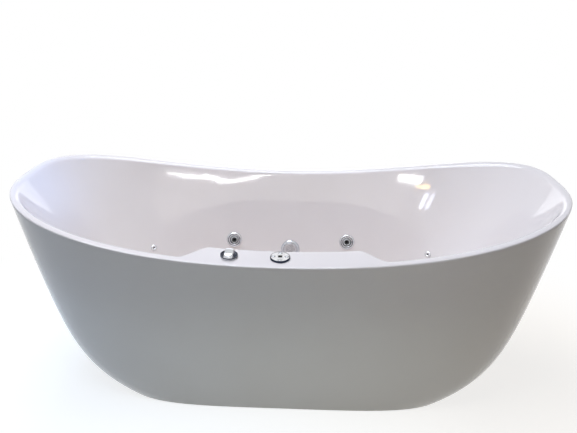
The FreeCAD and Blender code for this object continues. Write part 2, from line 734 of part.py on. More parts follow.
# ------------------------------------------------------------------ suction
SUCTION_NECK_FOOT = "suction_depth - basin_wall - jet_nut_height - suction_nut_room"
SUCTION_FLANGE = "suction_depth + jet_seat_gap"
suction = turned("suction_core", [
    ("0", "0"), ("suction_neck_radius - 4", "0"), ("suction_neck_radius - 4", SUCTION_NECK_FOOT),
    ("suction_neck_radius", SUCTION_NECK_FOOT), ("suction_neck_radius", SUCTION_FLANGE),
    ("suction_cover_radius - 4", SUCTION_FLANGE), ("suction_cover_radius - 4", SUCTION_FLANGE + " + 2"),
    ("0", SUCTION_FLANGE + " + 2")])
suction.Placement = sunk(suction_seat, size.suction_depth)
doc.recompute()
suction_down = wall_down(suction_seat)
suction_meet = meeting(suction_seat, size.suction_pipe_depth, suction_down, suction_height)
suction_root = suction_seat.multVec(V(0, 0, -size.suction_pipe_depth))
suction_stub = spoke(suction_seat, size.suction_pipe_depth, suction_down,
                     (suction_meet - suction_root).Length - size.pipe_socket, size.suction_stub_radius)
suction_throat = Part.makeCylinder(size.suction_bore, size.suction_depth,
                                   suction_seat.multVec(V(0, 0, -size.suction_bore_depth)),
                                   suction_seat.Rotation.multVec(UP))
node("suction_fitting", feature("suction_fitting", suction.Shape.fuse(suction_stub).cut(suction_throat)))

COVER_UNDER = "suction_cover_height - suction_cover_wall"
cover = turned("suction_cover_blank", [
    ("suction_cover_radius - 3.5", "0"), ("suction_cover_radius", "0"),
    ("suction_cover_radius", "suction_cover_height - 4"),
    ("suction_cover_radius - 4", "suction_cover_height - 1"),
    ("suction_cover_radius - 14", "suction_cover_height"), ("0", "suction_cover_height"),
    ("0", COVER_UNDER), ("suction_cover_radius - 14", COVER_UNDER),
    ("suction_cover_radius - 3.5", COVER_UNDER + " - 1.5")])
sketch = cover.newObject("Sketcher::SketchObject", "suction_holes")
sketch.AttachmentSupport = [(origin_plane(cover, "XY_Plane"), "")]
sketch.MapMode = "FlatFace"
HOLE_CIRCLES = (0.3, 0.62)
for circle, share in enumerate(HOLE_CIRCLES):
    middle = size.suction_cover_radius * share
    sketch.addGeometry(Part.Circle(V(middle, 0, 0), UP, size.suction_hole_radius), False)
    sketch.addConstraint(Sketcher.Constraint("PointOnObject", circle, 3, -1))
    index = sketch.addConstraint(Sketcher.Constraint("DistanceX", -1, 1, circle, 3, middle))
    sketch.setExpression(f"Constraints[{index}]", bound(f"suction_cover_radius*{share}"))
    index = sketch.addConstraint(Sketcher.Constraint("Radius", circle, size.suction_hole_radius))
    sketch.setExpression(f"Constraints[{index}]", bound("suction_hole_radius"))
doc.recompute()
perforation = cover.newObject("PartDesign::Pocket", "suction_perforation")
perforation.Profile = sketch
perforation.Type = "ThroughAll"
perforation.Midplane = True
cover.Tip = perforation
doc.recompute()
around = cover.newObject("PartDesign::PolarPattern", "suction_perforation_ring")
around.Originals = [perforation]
around.Axis = (sketch, ["N_Axis"])
around.Angle = 360
around.Occurrences = 10
cover.Tip = around
cover.Placement = sunk(suction_seat, -size.jet_seat_gap)
node("suction_cover", cover)

# ------------------------------------------------------------------ pump, along Y behind the right end
PUMP_PARTS = {"cover": size.pump_cover_length, "motor": size.pump_motor_length - size.pump_cover_length,
              "plate": size.pump_plate, "volute": size.pump_volute_length}
pump_length = sum(PUMP_PARTS.values())
pump_foot = V(size.pump_place, -pump_length / 2 - size.pump_set_forward, size.pump_height)
pump_place = facing(pump_foot, V(0, 1, 0))


def pump_at(reach):
    return sunk(pump_place, -reach)


starts = {}
reach = 0
for name, length in PUMP_PARTS.items():
    starts[name] = reach
    reach += length
COVER_INSIDE = "pump_cover_round + pump_cover_wall"
fan_cover = turned("pump_fan_cover_blank", [
    ("pump_cover_eye", "0"), ("pump_motor_radius - pump_cover_round", "0"),
    ("pump_motor_radius", "pump_cover_round"), ("pump_motor_radius", "pump_cover_length"),
    ("pump_motor_radius - pump_wall", "pump_cover_length"), ("pump_motor_radius - pump_wall", COVER_INSIDE),
    ("pump_motor_radius - pump_cover_round - pump_cover_wall", "pump_wall"), ("pump_cover_eye", "pump_wall")])
VENTS = 8
vents = [block(f"pump_vent_{i}", ("pump_vent_length", "pump_vent_width", "pump_vent_length"),
               V(size.pump_vent_reach, -size.pump_vent_width / 2, -size.pump_vent_length / 2))
         for i in range(VENTS)]
for i, vent in enumerate(vents):
    moved(vent, FreeCAD.Placement(V(), FreeCAD.Rotation(UP, 360 / VENTS * i)))
fan_cover = cut("pump_fan_cover", fan_cover, vents)
fan_cover.Placement = pump_at(starts["cover"])
node("pump_fan_cover", fan_cover)

MOTOR_LENGTH = "pump_motor_length - pump_cover_length"
SHAFT_BORE = "pump_shaft_radius + pump_shaft_gap"
motor = turned("pump_motor", [
    (SHAFT_BORE, "0"), ("pump_motor_radius - pump_wall", "0"),
    ("pump_motor_radius - pump_wall", MOTOR_LENGTH), (SHAFT_BORE, MOTOR_LENGTH)])
FIN_ROOT, FIN_END = "pump_motor_radius - pump_fin_height", MOTOR_LENGTH + " - pump_fin_height"
fin_sketch = profile_sketch(motor, [(FIN_ROOT, "pump_fin_height"), ("pump_motor_radius", "pump_fin_height"),
                                    ("pump_motor_radius", FIN_END), (FIN_ROOT, FIN_END)])
doc.recompute()
fin = motor.newObject("PartDesign::Pad", "pump_fin")
fin.Profile = fin_sketch
fin.setExpression("Length", bound("pump_fin_thickness"))
fin.Midplane = True
motor.Tip = fin
doc.recompute()
fins = motor.newObject("PartDesign::PolarPattern", "pump_fins")
fins.Originals = [fin]
fins.Axis = (fin_sketch, ["V_Axis"])
fins.Angle = 360
fins.Occurrences = 16
motor.Tip = fins
motor.Placement = pump_at(starts["motor"])
node("pump_motor", motor)

plate = turned("pump_seal_plate", [(SHAFT_BORE, "0"), ("pump_volute_radius", "0"),
                                   ("pump_volute_radius", "pump_plate"), (SHAFT_BORE, "pump_plate")])
plate.Placement = pump_at(starts["plate"])
node("pump_seal_plate", plate)

CHAMBER_RADIUS = "pump_volute_radius - pump_wall*2"
INLET_BORE = "suction_pipe_radius - 3"
volute = turned("pump_volute_blank", [
    (CHAMBER_RADIUS, "0"), ("pump_volute_radius", "0"),
    ("pump_volute_radius", "pump_chamber_length + pump_wall"),
    ("suction_pipe_radius + pump_wall", "pump_neck_start"),
    ("suction_pipe_radius + pump_wall", "pump_volute_length"), (INLET_BORE, "pump_volute_length"),
    (INLET_BORE, "pump_chamber_length + 2"), (CHAMBER_RADIUS, "pump_chamber_length")])
volute.Placement = pump_at(starts["volute"])
doc.recompute()
outlet_length = size.pump_volute_radius + size.pump_outlet_rise
outlet_foot = (pump_at(starts["volute"] + size.pump_outlet_place).Base
               + V(size.pump_volute_radius - size.pump_outlet_inset, 0, 0))
outlet = Part.makeCylinder(size.pressure_pipe_radius, outlet_length, outlet_foot, UP)
chamber = Part.makeCylinder(number(CHAMBER_RADIUS), size.pump_chamber_length, pump_at(starts["volute"]).Base,
                            V(0, 1, 0))
node("pump_volute", feature("pump_volute", volute.Shape.fuse(outlet).cut(chamber)))
pump_outlet = outlet_foot + UP * outlet_length
pump_inlet = pump_at(starts["volute"] + size.pump_volute_length).Base

IMPELLER_FOOT = "pump_motor_length + pump_plate + pump_impeller_gap"
IMPELLER_PLATE = IMPELLER_FOOT + " + pump_vane_thickness"
IMPELLER_TOP = IMPELLER_FOOT + " + pump_impeller_height"
FAN_END = "pump_fan_start + pump_hub_length"
rotor_shaft = turned("pump_shaft", [
    ("0", "pump_shaft_start"), ("pump_shaft_radius", "pump_shaft_start"),
    ("pump_shaft_radius", "pump_fan_start"),
    ("pump_hub_radius", "pump_fan_start"), ("pump_hub_radius", FAN_END), ("pump_shaft_radius", FAN_END),
    ("pump_shaft_radius", IMPELLER_FOOT), ("pump_impeller_radius", IMPELLER_FOOT),
    ("pump_impeller_radius", IMPELLER_PLATE), ("pump_hub_radius", IMPELLER_PLATE),
    ("pump_cover_eye", IMPELLER_TOP), ("0", IMPELLER_TOP)])
BLADES = 7
blade_size = ("pump_fan_radius - pump_hub_radius + 2", "pump_blade_thickness", "pump_hub_length")
blade_corner = V(size.pump_hub_radius - 2, -size.pump_blade_thickness / 2, size.pump_fan_start)
vane_size = ("pump_impeller_radius - pump_cover_eye", "pump_vane_thickness", "pump_vane_height")
vane_corner = V(size.pump_cover_eye, -size.pump_vane_thickness / 2, number(IMPELLER_PLATE) - 0.5)
blades = [block(f"pump_blade_{i}", blade_size, blade_corner) for i in range(BLADES)]
vanes = [block(f"pump_vane_{i}", vane_size, vane_corner) for i in range(BLADES)]
for i in range(BLADES):
    turn = FreeCAD.Placement(V(), FreeCAD.Rotation(UP, 360 / BLADES * i))
    moved(blades[i], turn)
    moved(vanes[i], turn)
rotor = joined("pump_rotor", [rotor_shaft, *blades, *vanes])
rotor.Placement = pump_place
node("pump_rotor", rotor)

shelf_top = board_under + size.shelf_thickness
saddle_middle = pump_place.Base.y + (starts["motor"] + starts["plate"]) / 2
pad_places = [(x, saddle_middle + y) for x in (-size.pump_pad_across, size.pump_pad_across)
              for y in (-size.pump_pad_along, size.pump_pad_along)]
pads = [cylinder(f"pump_pad_{i}", "pump_pad_radius", "pump_pad_height", V(size.pump_place + x, y, shelf_top))
        for i, (x, y) in enumerate(pad_places)]
node("pump_pads", grouped("pump_pads", pads))
saddle = block("pump_saddle_blank", ("saddle_width", "saddle_length", "saddle_height"),
               V(size.pump_place - size.saddle_width / 2, saddle_middle - size.saddle_length / 2,
                 shelf_top + size.pump_pad_height))
bed = cylinder("pump_saddle_bed", "pump_motor_radius + glue_gap", "saddle_length*2",
               V(size.pump_place, saddle_middle - size.saddle_length, size.pump_height), V(0, 1, 0))
node("pump_saddle", cut("pump_saddle", saddle, [bed]))


# ------------------------------------------------------------------ pipes
def end_points(first, last, steps, height, room):
    """Points of a pipe round a high end, where there is more room behind the basin."""
    turns = [math.radians(first + (last - first) * i / steps) for i in range(steps + 1)]
    return [behind_wall(turn, height, size.jet_pipe_depth + room * math.cos(turn) ** 2) for turn in turns]


def branches(meets, places, radius, length):
    """Short sockets on a pipe, one for each fitting that it feeds."""
    made = []
    for name, meet in meets.items():
        root = places[name].multVec(V(0, 0, -size.jet_pipe_depth))
        made.append(Part.makeCylinder(radius, length, meet, root - meet))
    return made


def side_point(degrees, height):
    return [behind_wall(math.radians(degrees), height, size.jet_pipe_depth)]


def water_side(degrees):
    return side_point(degrees, pressure_height)


def water_end(first, last, steps):
    return end_points(first, last, steps, pressure_height, size.pipe_end_room)


def air_side(degrees):
    return side_point(degrees, air_height)


def air_end(first, last):
    return end_points(first, last, 5, air_height, size.air_end_room)


def fed(meets, *names):
    return [meets[name] for name in names]


riser_foot = pump_outlet + UP * 45
riser_bend = V(size.pump_place + 65, 95, pressure_height - 60)
at_pump = water_end(23, 23, 1)[:1]
main_points = [pump_outlet, riser_foot, riser_bend] + at_pump
main_points += fed(pressure_meets, "small_jet_back_right") + water_side(53)
main_points += fed(pressure_meets, "jet_back_right") + water_side(90)
main_points += fed(pressure_meets, "jet_back_left") + water_side(127)
main_points += fed(pressure_meets, "small_jet_back_left") + water_end(156, 204, 3)
main_points += fed(pressure_meets, "small_jet_front_left", "jet_front_left")
front_points = at_pump + water_end(8, -23, 2)
front_points += fed(pressure_meets, "small_jet_front_right", "jet_front_right")
pressure = tube(main_points, size.pressure_pipe_radius).fuse(tube(front_points, size.pressure_pipe_radius))
pressure = pressure.fuse(branches(pressure_meets, {**jet_seats, **small_seats},
                                  size.jet_stub_radius + size.pipe_socket_wall, size.pipe_socket))
node("pressure_pipe", feature("pressure_pipe", pressure))

valve_outlet = knob_seat.multVec(V(0, 0, -size.valve_depth))
valve_below = knob_seat.multVec(V(0, 0, -size.valve_depth - 50))
left_air = [valve_outlet, valve_below, valve_below + V(-40, 2, -55)] + air_side(243)
left_air += fed(air_meets, "jet_front_left") + air_end(220, 140)
left_air += air_side(126) + fed(air_meets, "jet_back_left")
right_air = [valve_below + UP * 12, valve_below + V(60, -3, -20), valve_below + V(190, -4, -32)]
right_air += air_side(-63) + fed(air_meets, "jet_front_right") + air_end(-40, 40)
right_air += air_side(54) + fed(air_meets, "jet_back_right")
air = tube(left_air, size.air_pipe_radius).fuse(tube(right_air, size.air_pipe_radius))
air = air.fuse(branches(air_meets, jet_seats, size.jet_air_stub_radius + size.pipe_socket_wall,
                        size.pipe_socket / 2))
node("air_pipe", feature("air_pipe", air))

suction_points = [suction_meet, behind_wall(math.radians(68), suction_height - 2, 38),
                  behind_wall(math.radians(52), suction_height - 8, 40),
                  V(size.pump_place - 40, 205, suction_height - 32), V(pump_inlet.x, 165, pump_inlet.z),
                  pump_inlet]
suction_pipe = tube(suction_points, size.suction_pipe_radius)
socket = Part.makeCylinder(size.suction_pipe_radius, size.pipe_socket, suction_meet,
                           suction_root - suction_meet)
node("suction_pipe", feature("suction_pipe", suction_pipe.fuse(socket)))

# ------------------------------------------------------------------ deck controls
VALVE_FLANGE = "valve_depth + control_gap"
VALVE_BORE = "knob_stem + shaft_fit"
valve = turned("air_valve", [
    ("0", "0"), ("valve_neck_radius - 6", "0"), ("valve_neck_radius - 6", "valve_foot"),
    ("valve_neck_radius", "valve_foot"), ("valve_neck_radius", VALVE_FLANGE),
    ("valve_flange_radius", VALVE_FLANGE), ("valve_flange_radius", VALVE_FLANGE + " + valve_flange_height"),
    (VALVE_BORE, VALVE_FLANGE + " + valve_flange_height"), (VALVE_BORE, "valve_depth - knob_tail"),
    ("0", "valve_depth - knob_tail")])
valve.Placement = sunk(knob_seat, size.valve_depth)
node("air_valve", valve)
KNOB_TOP = "knob_height + knob_crown"
knob_blank = turned("air_knob_blank", [
    ("0", "0"), ("knob_stem", "0"), ("knob_stem", "knob_tail"), ("knob_radius", "knob_tail"),
    ("knob_radius", KNOB_TOP + " - 5"), ("knob_radius - 3", KNOB_TOP + " - 1"),
    ("knob_radius - 10", KNOB_TOP), ("0", KNOB_TOP)])
scoop_middle = size.knob_scoop_radius + size.knob_grip / 2
scoops = [cylinder(f"air_knob_scoop_{side}", "knob_scoop_radius", "knob_radius*2",
                   V(side * scoop_middle, -size.knob_radius,
                     size.knob_tail + size.knob_skirt + size.knob_scoop_radius), V(0, 1, 0))
          for side in (-1, 1)]
knob = cut("air_knob", knob_blank, scoops)
knob.Placement = sunk(knob_seat, size.knob_tail - 2 * size.control_gap - size.valve_flange_height)
node("air_knob", knob)

KEYPAD_TOP = "keypad_depth + keypad_height"
keypad_blank = turned("keypad_blank", [
    ("0", "0"), ("keypad_neck_radius", "0"), ("keypad_neck_radius", "keypad_depth + control_gap"),
    ("keypad_radius", "keypad_depth + control_gap"), ("keypad_radius", KEYPAD_TOP + " - keypad_bevel"),
    ("keypad_radius - keypad_bevel", KEYPAD_TOP), ("0", KEYPAD_TOP)])
button_places = {"left": V(-1, 0, 0), "right": V(1, 0, 0), "front": V(0, -1, 0), "back": V(0, 1, 0)}
keypad_top = number(KEYPAD_TOP)
button_foot = size.button_proud - size.button_height
wells = [cylinder(f"keypad_well_{side}", "button_radius + control_gap", "button_height + button_travel",
                  way * size.button_circle + V(0, 0, keypad_top + button_foot - size.button_travel))
         for side, way in button_places.items()]
pocket_length, pocket_width = "window_length + control_gap", "window_width + control_gap"
pocket = block("keypad_pocket", (pocket_length, pocket_width, "window_thickness"),
               V(-number(pocket_length) / 2, -number(pocket_width) / 2, keypad_top - size.window_thickness))
keypad = cut("keypad_housing", keypad_blank, [*wells, pocket])
keypad.Placement = sunk(keypad_seat, size.keypad_depth)
node("keypad_housing", keypad)
window = block("keypad_window", ("window_length", "window_width", "window_thickness"),
               V(-size.window_length / 2, -size.window_width / 2, size.keypad_height - size.window_thickness))
node("keypad_window", moved(window, keypad_seat))
for side, way in button_places.items():
    button = cylinder(f"keypad_button_{side}", "button_radius", "button_height",
                      way * size.button_circle + V(0, 0, size.keypad_height + button_foot))
    node(f"keypad_button_{side}", moved(button, keypad_seat))
deck_nut_seat = size.lip_height + size.control_gap
deck_nuts = [nut_ring(seat, outer, inner, size.deck_nut_height, deck_nut_seat) for seat, outer, inner in
             ((knob_seat, size.valve_nut_radius, size.valve_neck_radius),
              (keypad_seat, size.keypad_nut_radius, size.keypad_neck_radius))]
node("deck_lock_nuts", feature("deck_lock_nuts", Part.makeCompound(deck_nuts)))

# ------------------------------------------------------------------ waste and overflow
TEE_FOOT = "waste_height - tee_step"
TEE_TOP = TEE_FOOT + " + tee_length"
TAIL_FOOT = "waste_height + 32"
DRAIN_SEAT = "basin_floor_height + glue_gap"
drain = turned("drain_blank", [
    ("drain_tail_radius - drain_wall", TAIL_FOOT), ("drain_tail_radius", TAIL_FOOT),
    ("drain_tail_radius", DRAIN_SEAT), ("drain_flange_radius", DRAIN_SEAT),
    ("drain_flange_radius", DRAIN_SEAT + " + drain_edge"),
    ("drain_tail_radius + drain_wall", DRAIN_SEAT + " + drain_edge*2"),
    ("drain_tail_radius - drain_wall", DRAIN_SEAT + " + drain_edge")])
bar_foot = floor_top - size.drain_bar_depth
bars = [block(f"drain_bar_{i}", ("drain_tail_radius*2 - 2", "drain_bar", "drain_bar_height"),
              V(1 - size.drain_tail_radius, -size.drain_bar / 2, bar_foot)) for i in range(2)]
moved(bars[1], FreeCAD.Placement(V(), FreeCAD.Rotation(UP, 90)))
hub = cylinder("drain_hub", "plug_stem_radius + drain_wall", "drain_hub_height", V(0, 0, bar_foot - 2))
guide = cylinder("drain_guide", "plug_stem_radius + shaft_fit", "drain_hub_height*2",
                 V(0, 0, bar_foot - size.drain_hub_height / 2))
node("drain_fitting", cut("drain_fitting", joined("drain_body", [drain, *bars, hub]), [guide]))
PLUG_TOP = "plug_stem_length + plug_height"
plug = turned("drain_plug", [
    ("0", "0"), ("plug_stem_radius", "0"), ("plug_stem_radius", "plug_stem_length"),
    ("plug_radius", "plug_stem_length"), ("plug_radius", "plug_stem_length + plug_edge"),
    ("plug_radius - 6", PLUG_TOP), ("0", PLUG_TOP)])
plug.Placement.Base = V(0, 0, floor_top + size.glue_gap + size.plug_lift - size.plug_stem_length)
node("drain_plug", plug)
tee = turned("waste_tee_blank", [
    ("0", "waste_outlet_height"), ("waste_radius", "waste_outlet_height"), ("waste_radius", TEE_FOOT),
    ("tee_radius", TEE_FOOT), ("tee_radius", TEE_TOP), ("drain_tail_radius + control_gap", TEE_TOP),
    ("drain_tail_radius + control_gap", TAIL_FOOT + " - 2"), ("0", TAIL_FOOT + " - 2")])
branch_height = size.waste_height + size.tee_branch_rise
side_branch = cylinder("waste_branch", "overflow_pipe_radius + 2", "tee_branch_length",
                       V(0, 0, branch_height), V(0, -1, 0))
node("waste_tee", joined("waste_tee", [tee, side_branch]))

OVERFLOW_NECK = "overflow_pipe_radius + overflow_wall"
OVERFLOW_STEP = "overflow_depth - basin_wall - 6"
OVERFLOW_FLANGE = "overflow_depth + jet_seat_gap"
overflow = turned("overflow_blank", [
    ("0", "0"), ("overflow_radius - 8", "0"), ("overflow_radius - 8", OVERFLOW_STEP),
    (OVERFLOW_NECK, OVERFLOW_STEP), (OVERFLOW_NECK, OVERFLOW_FLANGE), ("overflow_radius", OVERFLOW_FLANGE),
    ("overflow_radius", OVERFLOW_FLANGE + " + overflow_edge"),
    ("overflow_radius - 6", OVERFLOW_FLANGE + " + overflow_edge*2"),
    ("overflow_pipe_radius", OVERFLOW_FLANGE + " + overflow_edge*2"),
    ("overflow_pipe_radius", "overflow_depth - overflow_bore_depth"),
    ("0", "overflow_depth - overflow_bore_depth")])
overflow.Placement = sunk(overflow_seat, size.overflow_depth)
doc.recompute()
spigot_root = overflow_seat.multVec(V(0, 0, size.spigot_place - size.overflow_depth))
spigot = Part.makeCylinder(size.spigot_radius, size.spigot_length, spigot_root, UP * -1)
node("overflow_fitting", feature("overflow_fitting", overflow.Shape.fuse(spigot)))
spigot_end = spigot_root - UP * size.spigot_length
tee_end = V(0, -size.tee_branch_length, branch_height)
overflow_points = [spigot_end, spigot_end + V(0, 0, -60), V(0, -292, 345), V(0, -275, 245), V(0, -262, 145),
                   V(0, -240, 76), V(0, -190, 57), V(0, -115, tee_end.z), tee_end]
node("overflow_pipe", feature("overflow_pipe", tube(overflow_points, size.overflow_pipe_radius)))

# ------------------------------------------------------------------ electrics
box_place = V(-size.pump_rail_reach + size.box_inset, -size.box_width / 2, shelf_top)
control_box = block("control_box_body", ("box_length", "box_width", "box_height"), box_place)
gland_place = box_place + V(size.box_length / 2, size.gland_place, size.box_height)
gland = cylinder("control_box_gland", "cable_radius + gland_wall", "gland_height", gland_place)
node("control_box", joined("control_box", [control_box, gland]))
gland_top = gland_place + UP * size.gland_height
cable_height = pressure_height + size.cable_rise
cable_turns = range(262, 189, -6)
cable_drops = [0, 3, 12, 18, 20, 30, 34, 38, 42, 54, 92, 150, 208]
cable_depths = [6, 5, 10, 14, 15, 15, 15, 15, 15, 16, 16, 15, 14]
cable_points = [keypad_seat.multVec(V(0, 0, -size.keypad_depth - slack)) for slack in (0, 42)]
cable_points += [behind_wall(math.radians(turn), cable_height - drop, depth)
                 for turn, drop, depth in zip(cable_turns, cable_drops, cable_depths)]
cable_points += [gland_top + UP * 34, gland_top]
node("keypad_cable", feature("keypad_cable", tube(cable_points, size.cable_radius)))

# ------------------------------------------------------------------ checks and files
doc.recompute()
for made in doc.Objects:
    if {"Invalid", "Error"} & set(made.State):
        raise RuntimeError(f"{made.Label} failed: {made.State}")
os.makedirs("parts", exist_ok=True)
for name, made in NODES.items():
    shape = made.Shape
    if shape.isNull() or not shape.isValid() or not shape.Solids:
        raise RuntimeError(f"{name} has no sound solid")
    shape.exportStep(f"parts/{name}.step")
    print(f"{name}: {len(shape.Solids)} solid(s), {shape.Volume / 1000:.1f} cm3")
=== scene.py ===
# %% [markdown]
# # A jetted bathtub, dressed for its photograph
# The shape of every moving and fastened piece comes from the imported model, which is loaded first and never moved.
# This script lays smooth, finely divided shells and turned fittings over it, gives each piece its real finish, paints
# shade into grooves, wells and holes, and sets up a plain studio. Sizes are written in millimetres, as a maker would
# say them, and turned to metres at the end.

# %% Load the imported model
import json
import math

import bmesh
import bpy
from mathutils import Matrix, Vector


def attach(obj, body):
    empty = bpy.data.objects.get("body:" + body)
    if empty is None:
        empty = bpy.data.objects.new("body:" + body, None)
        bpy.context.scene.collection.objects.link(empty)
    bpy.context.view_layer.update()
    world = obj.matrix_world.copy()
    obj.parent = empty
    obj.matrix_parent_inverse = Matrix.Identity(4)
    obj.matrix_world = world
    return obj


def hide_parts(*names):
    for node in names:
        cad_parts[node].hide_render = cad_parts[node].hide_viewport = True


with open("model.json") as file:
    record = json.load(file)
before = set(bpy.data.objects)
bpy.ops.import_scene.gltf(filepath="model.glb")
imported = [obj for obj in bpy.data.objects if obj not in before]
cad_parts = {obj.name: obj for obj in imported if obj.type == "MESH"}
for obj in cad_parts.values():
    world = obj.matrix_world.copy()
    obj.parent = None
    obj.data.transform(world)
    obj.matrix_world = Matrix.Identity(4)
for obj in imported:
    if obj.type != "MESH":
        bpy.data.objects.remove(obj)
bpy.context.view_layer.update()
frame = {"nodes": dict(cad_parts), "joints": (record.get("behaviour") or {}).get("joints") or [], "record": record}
joints = {joint["name"]: joint for joint in frame["joints"]}

# %% [markdown]
# ## Camera
# The camera stands a step in front of the bath at about the height of a standing person's chest, and looks down over
# the near rim. Its place was found by matching the rim, the outline and the fittings. The photograph was cropped, so
# the lens is shifted down by a small part of the frame.

# %% Camera
camera_place = Vector((63.4, -1592.5, 1342.2)) / 1000
camera_yaw, camera_pitch, camera_roll = (math.radians(turn) for turn in (-2.22, 23.12, 0.292))
focal_pixels, photo_width, lens_shift = 535.3, 577, -0.04

ahead = Vector((math.sin(camera_yaw) * math.cos(camera_pitch), math.cos(camera_yaw) * math.cos(camera_pitch),
                -math.sin(camera_pitch)))
level_right = Vector((math.cos(camera_yaw), -math.sin(camera_yaw), 0))
level_up = level_right.cross(ahead)
right = level_right * math.cos(camera_roll) + level_up * math.sin(camera_roll)
up = level_up * math.cos(camera_roll) - level_right * math.sin(camera_roll)

camera = bpy.data.objects.new("camera", bpy.data.cameras.new("camera"))
bpy.context.scene.collection.objects.link(camera)
camera.data.sensor_width = 36
camera.data.lens = focal_pixels / photo_width * camera.data.sensor_width
camera.data.shift_y = lens_shift
camera.matrix_world = Matrix.Translation(camera_place) @ Matrix((right, up, -ahead)).transposed().to_4x4()
bpy.context.scene.camera = camera
print("lens", round(camera.data.lens, 1))

# %% [markdown]
# ## Helpers for finishes
# Colours are written as the sRGB hex values that a colour picker shows, and one function turns them to the linear
# values that shaders work in. One more function adds a node with its settings and its links, so that a finish reads
# as a few lines. Finishes could be drawn as pictures, but patterns worked out from the place on the piece need no
# unwrapping and stay sharp from near. Noise seldom leaves the middle of its range, so shades are spread over that.

# %% Colour and node helpers
NOISE_SPAN = (0.3, 0.7)


def linear(code):
    """Linear red, green, blue and alpha of an sRGB hex colour."""
    parts = [int(code[i:i + 2], 16) / 255 for i in (1, 3, 5)]
    return (*(part / 12.92 if part <= 0.04045 else ((part + 0.055) / 1.055) ** 2.4 for part in parts), 1)


def add(tree, kind, settings=(), **links):
    """A node with its settings, linked by input name, or by in0, in1 and so on for an input's number."""
    made = tree.nodes.new(kind)
    for name, value in dict(settings).items():
        setattr(made, name, value)
    for name, source in links.items():
        socket = made.inputs[int(name[2:])] if name[:2] == "in" and name[2:].isdigit() else made.inputs[
            name.replace("_", " ")]
        if isinstance(source, bpy.types.NodeSocket):
            tree.links.new(source, socket)
        else:
            socket.default_value = source
    return made


def new_material(name, **settings):
    """A material with its surface shader, and the object coordinates that its patterns read."""
    material = bpy.data.materials.new(name)
    material.use_nodes = True
    tree = material.node_tree
    shader = tree.nodes["Principled BSDF"]
    for socket, value in settings.items():
        shader.inputs[socket.replace("_", " ")].default_value = value
    return material, tree, shader, add(tree, "ShaderNodeTexCoord").outputs["Object"]


def two_shades(tree, shader, factor, low, high, ends=(0, 1)):
    """A ramp between two shades gives the surface its colour."""
    ramp = add(tree, "ShaderNodeValToRGB", Fac=factor)
    for stop, end, shade in zip(ramp.color_ramp.elements, ends, (low, high)):
        stop.position, stop.color = end, linear(shade)
    tree.links.new(ramp.outputs["Color"], shader.inputs["Base Color"])


def varied_colour(tree, shader, place, low, high, per_metre):
    """The colour drifts between two shades in soft patches."""
    noise = add(tree, "ShaderNodeTexNoise", Vector=place, Scale=per_metre, Detail=3, Roughness=0.5)
    two_shades(tree, shader, noise.outputs["Fac"], low, high, NOISE_SPAN)


def celled_colour(tree, shader, place, low, high, per_metre):
    """The colour changes from one crystal or flake to the next."""
    cells = add(tree, "ShaderNodeTexVoronoi", Vector=place, Scale=per_metre)
    two_shades(tree, shader, cells.outputs["Color"], low, high)


def varied_roughness(tree, shader, place, low, high, per_metre):
    """The gloss drifts in the same way."""
    noise = add(tree, "ShaderNodeTexNoise", Vector=place, Scale=per_metre, Detail=4, Roughness=0.6)
    spread = add(tree, "ShaderNodeMapRange", Value=noise.outputs["Fac"], From_Min=NOISE_SPAN[0],
                 From_Max=NOISE_SPAN[1], To_Min=low, To_Max=high)
    tree.links.new(spread.outputs["Result"], shader.inputs["Roughness"])


def fine_bump(tree, shader, place, per_metre, depth_mm, strength):
    """A grain or swell too small for the mesh."""
    noise = add(tree, "ShaderNodeTexNoise", Vector=place, Scale=per_metre, Detail=2)
    bump = add(tree, "ShaderNodeBump", Height=noise.outputs["Fac"], Distance=depth_mm / 1000, Strength=strength)
    tree.links.new(bump.outputs["Normal"], shader.inputs["Normal"])


print("middle grey in linear light", round(linear("#808080")[0], 3))

# %% [markdown]
# ## Finishes
# The shells are cast acrylic sheet, drawn hot over a mould and backed with glass fibre. Its colour lies under a clear,
# glossy face, which shows crisp reflections with the faintest swell where the sheet cooled. A plain white would look
# like plaster: the thin coat over the colour is what makes it acrylic, and the swell bends the reflections a little.

# %% Cast acrylic
acrylic, tree, shader, place = new_material("cast_acrylic_white", IOR=1.49, Specular_IOR_Level=0.5,
                                            Coat_Weight=0.25, Coat_Roughness=0.02, Coat_IOR=1.49)
varied_colour(tree, shader, place, "#f2ebe6", "#f5efeb", 3)
varied_roughness(tree, shader, place, 0.03, 0.06, 9)
fine_bump(tree, shader, place, 14, 0.25, 0.35)
print(acrylic.name, "has", len(tree.nodes), "shader nodes")

# %% [markdown]
# Fittings are ABS that was plated with copper, nickel and chromium. Chromium is a slightly blue mirror. Fingers and
# dried water leave it a little duller in patches about a centimetre wide. In a white room polished chrome mirrors
# only white, so faces that the photograph shows in shade, such as grooves and scoops, get a darker copy of the
# plating, which is painted shade.

# %% Chrome: bright, satin, and darker chrome as painted shade
chrome, tree, shader, place = new_material("chrome_plated_abs", Metallic=1.0)
varied_colour(tree, shader, place, "#c6c9ce", "#d3d5d9", 90)
varied_roughness(tree, shader, place, 0.05, 0.13, 120)

satin_chrome, tree, shader, place = new_material("satin_chrome_plated_abs", Metallic=1.0)
varied_colour(tree, shader, place, "#d6d6d8", "#e2e2e4", 140)
varied_roughness(tree, shader, place, 0.2, 0.3, 160)

# Darker chrome for grooves, wells, scoops and the keypad's sloping edge: painted shade, not a plating of its own.
painted_shade_chrome, tree, shader, place = new_material("painted_shade_chrome_plated_abs", Metallic=1.0)
varied_colour(tree, shader, place, "#2b3040", "#373d4d", 140)
varied_roughness(tree, shader, place, 0.10, 0.18, 160)
print("plated finishes", [finish.name for finish in (chrome, satin_chrome, painted_shade_chrome)])
